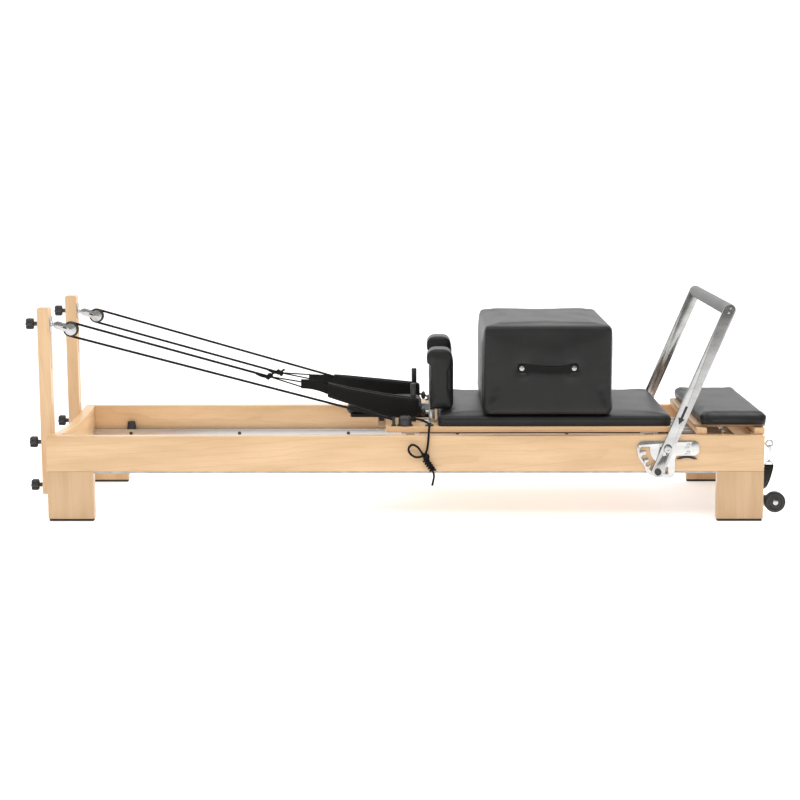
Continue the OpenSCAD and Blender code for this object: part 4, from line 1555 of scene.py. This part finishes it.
class REFORMER_OT_carriage(bpy.types.Operator):
    """Carriage board, wheels, headrest, shoulder brackets, cleats and their fittings"""

    bl_idname = "reformer.carriage"
    bl_label = "Carriage"

    def execute(self, context):
        refined("carriage_board", STUFF["ply"], 1.2 * MM, 3)
        refined("wheel_forks", STUFF["steel_plate"], 0.7 * MM)
        refined("headrest_board", STUFF["leather"], 1.0 * MM)
        refined("headrest_hinge", STUFF["steel"], 0.3 * MM)
        prop = refined("headrest_prop", STUFF["prop"], 1.2 * MM)
        prop.data.materials.append(STUFF["plastic"])
        for face in prop.data.polygons:
            if abs(face.center.y) > 54.5 * MM:
                face.material_index = 1
        for node in ("front_wheels", "rear_wheels"):
            low, high, middle = between(node)
            radius = (high.z - low.z) / 2
            profile = [
                (-10 * MM, 4.3 * MM),
                (-10 * MM, 9 * MM),
                (-8.4 * MM, 10 * MM),
                (-8.4 * MM, 0.76 * radius),
                (-10 * MM, 0.82 * radius),
                (-10 * MM, 0.95 * radius),
                (-8.6 * MM, radius),
            ]
            profile += [(-along, r) for along, r in reversed(profile)]
            wheel = smooth(
                turned(node + "_tyres", profile, (middle.x, low.y + 10 * MM, middle.z), (0, 1, 0))
            )
            finish_piece(both_sides(wheel), BODY_OF[node], STUFF["wheel"], [node])
        brackets = refined("shoulder_brackets", STUFF["steel_plate"], 0.8 * MM)
        brackets.data.materials.append(STUFF["maple_z"])
        for face in brackets.data.polygons:
            if face.center.x > 86.2 * MM:
                face.material_index = 1
        low, high, middle = between("shoulder_knobs")
        dome = turned(
            "shoulder_knob_domes",
            [
                (0, 0),
                (0, 9 * MM),
                (2 * MM, 11 * MM),
                (3 * MM, 14.2 * MM),
                (5 * MM, 15 * MM),
                (9 * MM, 14.6 * MM),
                (12.5 * MM, 12 * MM),
                (15 * MM, 7.5 * MM),
                (16 * MM, 2.5 * MM),
                (16 * MM, 0),
            ],
            (high.x, low.y + 15 * MM, middle.z),
            (-1, 0, 0),
        )
        finish_piece(
            both_sides(smooth(dome, 60)), "carriage", STUFF["plastic"], ["shoulder_knobs"]
        )
        # Painted shade: black strips that close the gap between the board and the rails, so that the gap
        # reads as dark shade
        low, high, middle = between("carriage_board")
        shade_strip = box(
            "carriage_shade_strips",
            (low.x + 62 * MM, low.y + 3 * MM, low.z - 4.6 * MM),
            (high.x - 8 * MM, low.y + 12 * MM, low.z),
        )
        round_edges(shade_strip, 1 * MM, 2)
        finish_piece(both_sides(smooth(shade_strip)), "carriage", STUFF["rubber"], slot="black_rubber")
        low, high, middle = between("rope_cleats")
        bodies = refined("rope_cleats", STUFF["plastic"], 0.8 * MM)
        bodies.name = "rope_cleat_bodies"
        cap_place = Vector((2 * MM, -297 * MM, high.z))
        cap = turned(
            "rope_cleat_caps",
            [
                (-1 * MM, 0),
                (-1 * MM, 12.6 * MM),
                (-0.2 * MM, 12.6 * MM),
                (0.0, 11 * MM),
                (0.0, 6 * MM),
                (-0.7 * MM, 5 * MM),
                (-0.7 * MM, 0),
            ],
            cap_place,
            (0, 0, 1),
            40,
        )
        finish_piece(both_sides(smooth(cap)), "carriage", STUFF["plastic"], slot="black_plastic")
        eye = ring(
            "cleat_eyes",
            (84 * MM, -309 * MM, 322 * MM),
            (0, 1, 0),
            6.2 * MM,
            1.9 * MM,
        )
        stem = rod("stem", (84 * MM, -309 * MM, 316 * MM), (84 * MM, -309 * MM, 315 * MM), 4 * MM)
        finish_piece(
            both_sides(smooth(join("cleat_eyes", eye, stem))),
            "carriage",
            STUFF["steel"],
            slot="polished_steel",
        )
        return {"FINISHED"}


class REFORMER_OT_springs(bpy.types.Operator):
    """Close-wound springs under the carriage and the bar that holds them"""

    bl_idname = "reformer.springs"
    bl_label = "Springs"

    def execute(self, context):
        refined("spring_bar", STUFF["steel"], 0.4 * MM)
        low, high, middle = between("springs")
        wire = sizes().wire / 2
        coil = (high.z - low.z) / 2 - wire
        pitch = 2.12 * wire
        length = high.x - low.x
        rows = []
        for i in range(5):
            y = low.y + coil + wire + i * (high.y - low.y - 2 * coil - 2 * wire) / 4
            bpy.ops.object.select_all(action="DESELECT")
            bpy.ops.mesh.primitive_circle_add(
                vertices=7,
                radius=wire,
                location=(coil, 0, 0),
                rotation=(math.pi / 2, 0, 0),
            )
            wound = named("coil")
            turns = int((length - 2 * wire) / pitch)
            modify(
                wound,
                "SCREW",
                axis="Z",
                steps=14,
                render_steps=14,
                iterations=turns,
                screw_offset=pitch,
                use_normal_calculate=True,
            )
            bpy.ops.object.mode_set(mode="EDIT")
            bpy.ops.mesh.select_all(action="SELECT")
            bpy.ops.mesh.remove_doubles(threshold=1e-6)
            bpy.ops.mesh.region_to_loop()
            bpy.ops.mesh.edge_face_add()
            bpy.ops.mesh.select_all(action="SELECT")
            bpy.ops.mesh.normals_make_consistent(inside=False)
            bpy.ops.object.mode_set(mode="OBJECT")
            wound.rotation_euler = (0, math.pi / 2, 0)
            wound.location = (low.x + wire, y, middle.z)
            only(wound)
            rows.append(smooth(named("coil"), 60))
        piece = join("spring_coils", *rows)
        finish_piece(piece, "carriage", STUFF["spring"], ["springs"])
        piece.parent = None
        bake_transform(piece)
        return {"FINISHED"}


# ---------------------------------------------------------------- footbar


class REFORMER_OT_footbar(bpy.types.Operator):
    """Footbar: flat polished arms, foam grip, screws, lock pins and a plain arrow"""

    bl_idname = "reformer.footbar"
    bl_label = "Footbar"

    def execute(self, context):
        refined("footbar_arms", STUFF["steel_bar"], 0.7 * MM)
        refined("footbar_tube", STUFF["steel"], 0.4 * MM)
        low, high, middle = between("footbar_grip")
        radius = (high.x - low.x) / 2
        half = (high.y - low.y) / 2
        profile = [(-half, 0), (-half, radius - 3.5 * MM)]
        profile += [
            (
                -half + 3 * MM - 3 * MM * math.cos(math.radians(a)),
                radius - 3 * MM + 3 * MM * math.sin(math.radians(a)),
            )
            for a in range(15, 91, 15)
        ]
        profile += [(-along, r) for along, r in reversed(profile)]
        grip = smooth(turned("footbar_foam", profile, middle, (0, 1, 0), 72), 50)
        finish_piece(grip, "footbar", STUFF["grip"], ["footbar_grip"])

        low, high, _ = between("grip_screws")
        pivot = between("pivot_bushings")[2]
        lean = (Vector((middle.x, 0, middle.z)) - Vector((pivot.x, 0, pivot.z))).normalized()
        heads = []
        for reach in (-8 * MM, 8 * MM):
            spot = Vector((middle.x, 0, middle.z)) + lean * reach
            spot.y = -376 * MM
            heads.append(screw("screw", spot, (0, -1, 0), 4 * MM, -376 * MM - low.y, 0.5))
        finish_piece(
            both_sides(join("grip_screw_heads", *heads)),
            "footbar",
            STUFF["steel"],
            ["grip_screws"],
        )

        low, high, middle = between("lock_pins")
        stem_low = low.y
        pin = turned(
            "lock_pin_knobs",
            [
                (0, 0),
                (0, 5.8 * MM),
                (9 * MM, 5.8 * MM),
                (9.2 * MM, 8.5 * MM),
                (10.4 * MM, 10.6 * MM),
                (12 * MM, 11.5 * MM),
                (20 * MM, 11.5 * MM),
                (22.6 * MM, 10.4 * MM),
                (24 * MM, 8 * MM),
                (23.3 * MM, 5.5 * MM),
                (23.3 * MM, 0),
            ],
            (middle.x, stem_low + 24.2 * MM, middle.z),
            (0, -1, 0),
        )
        finish_piece(both_sides(smooth(pin)), "footbar", STUFF["plastic"], ["lock_pins"])

        low, high, middle = between("pivot_bushings")
        refined("pivot_bushings", STUFF["plastic"], 0.4 * MM)

        # A plain arrow painted on each arm, pointing down to its lock pin
        along = -lean
        spot = Vector((pivot.x, -376.1 * MM, pivot.z)) + lean * 0.121
        arrow = arrow_sign("arm_arrows", spot, along)
        finish_piece(both_sides(arrow), "footbar", STUFF["ink"], slot="black_plastic")
        return {"FINISHED"}


def arrow_sign(name, place, along):
    """A flat arrow, 0.1 mm proud of the near face."""
    side = Vector((along.z, 0, -along.x))
    outline = (
        (-34, -4.2),
        (9, -4.2),
        (9, -11),
        (32, 0),
        (9, 11),
        (9, 4.2),
        (-34, 4.2),
    )
    bpy.ops.object.select_all(action="DESELECT")
    bpy.ops.mesh.primitive_circle_add(vertices=len(outline), radius=MM, fill_type="NGON")
    obj = bpy.context.object
    for v, (a, b) in zip(obj.data.vertices, outline):
        v.co = place + along * a * MM + side * b * MM
    only(obj)
    bpy.ops.object.mode_set(mode="EDIT")
    bpy.ops.mesh.select_all(action="SELECT")
    bpy.ops.mesh.extrude_region_move(TRANSFORM_OT_translate={"value": (0, -0.12 * MM, 0)})
    bpy.ops.mesh.select_all(action="SELECT")
    bpy.ops.mesh.normals_make_consistent(inside=False)
    bpy.ops.object.mode_set(mode="OBJECT")
    obj.name = obj.data.name = name
    return obj


class REFORMER_OT_comb(bpy.types.Operator):
    """Comb plates of the footbar with their bolts and rubber rests"""

    bl_idname = "reformer.comb"
    bl_label = "Comb plates"

    def execute(self, context):
        refined("comb_plates", STUFF["steel_plate"], 0.6 * MM)
        refined("bar_rests", STUFF["rubber"], 0.8 * MM)
        pivot = between("pivot_bushings")[2]
        heads = []
        for dx, dz in ((70, 11), (70, -13), (-22, 12)):
            place = (pivot.x + dx * MM, -366 * MM, pivot.z + dz * MM)
            heads.append(screw("bolt", place, (0, -1, 0), 6 * MM, 1.2 * MM, 0.42))
        centre = (pivot.x, -377.6 * MM, pivot.z)
        heads.append(screw("bolt", centre, (0, -1, 0), 13 * MM, 384 * MM - 377.6 * MM, 0.35))
        rings = join("footbar_bolt_heads", *heads)
        finish_piece(both_sides(rings), "frame", STUFF["steel"], ["footbar_bolts"])
        return {"FINISHED"}


# ---------------------------------------------------------------- foot end


class REFORMER_OT_foot_end(bpy.types.Operator):
    """Eye bolts, snap hooks, slack foot strap and transport wheels at the foot end"""

    bl_idname = "reformer.foot_end"
    bl_label = "Foot end"

    def execute(self, context):
        low, high, middle = between("eye_bolts")
        centre = Vector((high.x - 14.5 * MM, low.y + 14.5 * MM, middle.z))
        centre.y = -280 * MM
        eye = ring("eye", centre, (0, 1, 0), 11 * MM, 3.5 * MM, 48, 18)
        shank = rod(
            "shank",
            (low.x, centre.y, centre.z),
            (centre.x - 9.5 * MM, centre.y, centre.z),
            3.5 * MM,
            24,
        )
        flange = turned(
            "flange",
            [(0, 0), (0, 9 * MM), (2.2 * MM, 9 * MM), (3 * MM, 8 * MM), (3 * MM, 0)],
            (low.x, centre.y, centre.z),
            (1, 0, 0),
            40,
        )
        piece = both_sides(smooth(join("eye_bolt_rings", eye, shank, flange), 45))
        finish_piece(piece, "frame", STUFF["steel"], ["eye_bolts"])

        low, high, middle = between("snap_hooks")
        x, y = centre.x, centre.y
        top, foot = high.z - 2 * MM, low.z + 2 * MM
        loop = []
        bow = 7 * MM
        out = Vector((math.sin(0.75), math.cos(0.75), 0))
        for k in range(17):
            angle = math.pi * k / 16
            height = top - bow + bow * math.sin(angle)
            loop.append(Vector((x, y, height)) + bow * math.cos(angle) * out)
        hook_low = top - bow - 40 * MM
        for k in range(17):
            angle = math.pi + math.pi * k / 16
            height = hook_low + bow * math.sin(angle)
            loop.append(Vector((x, y, height)) + bow * math.cos(angle) * out)
        loop.append(loop[0].copy())
        hook = tube("hook", even(loop, 1.6 * MM), 2 * MM, 12)
        latch = rod(
            "latch",
            Vector((x, y, top - 14 * MM)) + 2.5 * MM * out,
            Vector((x, y, top - 38 * MM)) + 6.5 * MM * out,
            1.5 * MM,
            12,
        )
        swivel = turned(
            "swivel",
            [
                (0, 0),
                (0, 3.2 * MM),
                (1.5 * MM, 4.4 * MM),
                (5 * MM, 4.4 * MM),
                (6.5 * MM, 3 * MM),
                (6.5 * MM, 0),
            ],
            (x, y, hook_low - 10.2 * MM),
            (0, 0, 1),
            24,
        )
        dee = [
            Vector((x - 15 * MM, y, foot)),
            Vector((x + 15 * MM, y, foot)),
            Vector((x + 12.5 * MM, y, foot + 8 * MM)),
            Vector((x + 8 * MM, y, foot + 15 * MM)),
            Vector((x - 8 * MM, y, foot + 15 * MM)),
            Vector((x - 12.5 * MM, y, foot + 8 * MM)),
            Vector((x - 15 * MM, y, foot)),
        ]
        link = tube("dee", even(dee, 2 * MM), 2 * MM, 12)
        piece = both_sides(smooth(join("snap_hook_wires", hook, latch, swivel, link), 50))
        finish_piece(piece, "strap", STUFF["steel"], ["snap_hooks"])

        low, high, middle = between("foot_strap")
        wide = (high.x - low.x) / 2
        reach = high.y
        line = []
        for i in range(65):
            t = 2 * i / 64 - 1
            y = t * reach
            z = low.z + (high.z - low.z) * abs(t) ** 3 + 2 * MM * (1 - abs(t))
            slope = math.atan2(3 * (high.z - low.z) * abs(t) ** 2 * math.copysign(1, t), reach)
            normal = Vector((0, -math.sin(slope), math.cos(slope)))
            twist = 0.05 * math.sin(3 * t)
            across = Vector((math.cos(twist), 0, math.sin(twist))) * wide
            line.append((Vector((middle.x, y, z)), across, normal * 1.7 * MM))
        strap = band("foot_strap_webbing", line, 0.35, 14)
        finish_piece(strap, "strap", STUFF["web"], ["foot_strap"])
        turn = []
        for k in range(25):
            angle = math.pi * 1.5 * k / 24 - 0.4
            spot = Vector((x, -280 * MM, foot))
            out = Vector((0, math.cos(angle), math.sin(angle)))
            turn.append((spot + out * 4.2 * MM, Vector((wide * 0.98, 0, 0)), out * 1.5 * MM))
        loops = both_sides(band("foot_strap_loops", turn, 0.35, 12))
        finish_piece(loops, "strap", STUFF["web"], slot="black_webbing")
        rows = []
        for edge in (-0.8, 0.8):
            row = [c + a * edge + n for c, a, n in line[2:-2]]
            rows.append(stitches("row", row, [n.normalized() for _, _, n in line[2:-2]]))
        sewn = join("foot_strap_stitches", *rows)
        finish_piece(sewn, "strap", STUFF["thread"], slot="black_webbing")

        refined("wheel_brackets", STUFF["steel_plate"], 0.7 * MM)
        for node in ("near_transport_wheel", "far_transport_wheel"):
            low, high, middle = between(node)
            radius, half = (high.z - low.z) / 2, (high.y - low.y) / 2
            profile = [
                (-half, 5.1 * MM),
                (-half, 9 * MM),
                (-half + 1.6 * MM, 10.5 * MM),
                (-half + 2.4 * MM, 21 * MM),
                (-half + 0.6 * MM, 22.6 * MM),
                (-half, 24 * MM),
                (-half, radius - 4.5 * MM),
                (-half + 1.2 * MM, radius - 1.4 * MM),
                (-half + 3.4 * MM, radius),
                (-2 * MM, radius),
                (-1.4 * MM, radius - 0.5 * MM),
            ]
            profile += [(-along, r) for along, r in reversed(profile)]
            wheel = smooth(turned(node + "_tyre", profile, middle, (0, 1, 0), 72))
            finish_piece(wheel, BODY_OF[node], STUFF["wheel"], [node])
        return {"FINISHED"}


# ---------------------------------------------------------------- panel and run

STEPS = (
    REFORMER_OT_finishes,
    REFORMER_OT_stage,
    REFORMER_OT_tail,
    REFORMER_OT_wood,
    REFORMER_OT_tracks,
    REFORMER_OT_knobs,
    REFORMER_OT_pulleys,
    REFORMER_OT_ropes,
    REFORMER_OT_hand_straps,
    REFORMER_OT_pads,
    REFORMER_OT_sitting_box,
    REFORMER_OT_carriage,
    REFORMER_OT_springs,
    REFORMER_OT_footbar,
    REFORMER_OT_comb,
    REFORMER_OT_foot_end,
)


class REFORMER_PT_panel(bpy.types.Panel):
    """Lists the reformer's pieces"""

    bl_idname = "REFORMER_PT_panel"
    bl_label = "Pilates Reformer"
    bl_space_type = "VIEW_3D"
    bl_region_type = "UI"
    bl_category = "Reformer"

    def draw(self, context):
        settings = self.layout.column()
        for group in (context.scene.reformer_sizes, context.scene.reformer_colours):
            for key in group.__annotations__:
                settings.prop(group, key)
        pieces = self.layout.column()
        for step in STEPS:
            pieces.operator(step.bl_idname)


CLASSES = (ReformerSizes, ReformerColours, *STEPS, REFORMER_PT_panel)


def register():
    for cls in CLASSES:
        bpy.utils.register_class(cls)
    bpy.types.Scene.reformer_sizes = bpy.props.PointerProperty(type=ReformerSizes)
    bpy.types.Scene.reformer_colours = bpy.props.PointerProperty(type=ReformerColours)


def unregister():
    del bpy.types.Scene.reformer_colours
    del bpy.types.Scene.reformer_sizes
    for cls in reversed(CLASSES):
        bpy.utils.unregister_class(cls)


def main():
    register()
    bpy.ops.reformer.finishes()
    bpy.ops.reformer.stage()
    bpy.ops.reformer.tail()
    bpy.ops.reformer.wood()
    bpy.ops.reformer.tracks()
    bpy.ops.reformer.knobs()
    bpy.ops.reformer.pulleys()
    bpy.ops.reformer.ropes()
    bpy.ops.reformer.hand_straps()
    bpy.ops.reformer.pads()
    bpy.ops.reformer.sitting_box()
    bpy.ops.reformer.carriage()
    bpy.ops.reformer.springs()
    bpy.ops.reformer.footbar()
    bpy.ops.reformer.comb()
    bpy.ops.reformer.foot_end()


if __name__ == "__main__":
    main()
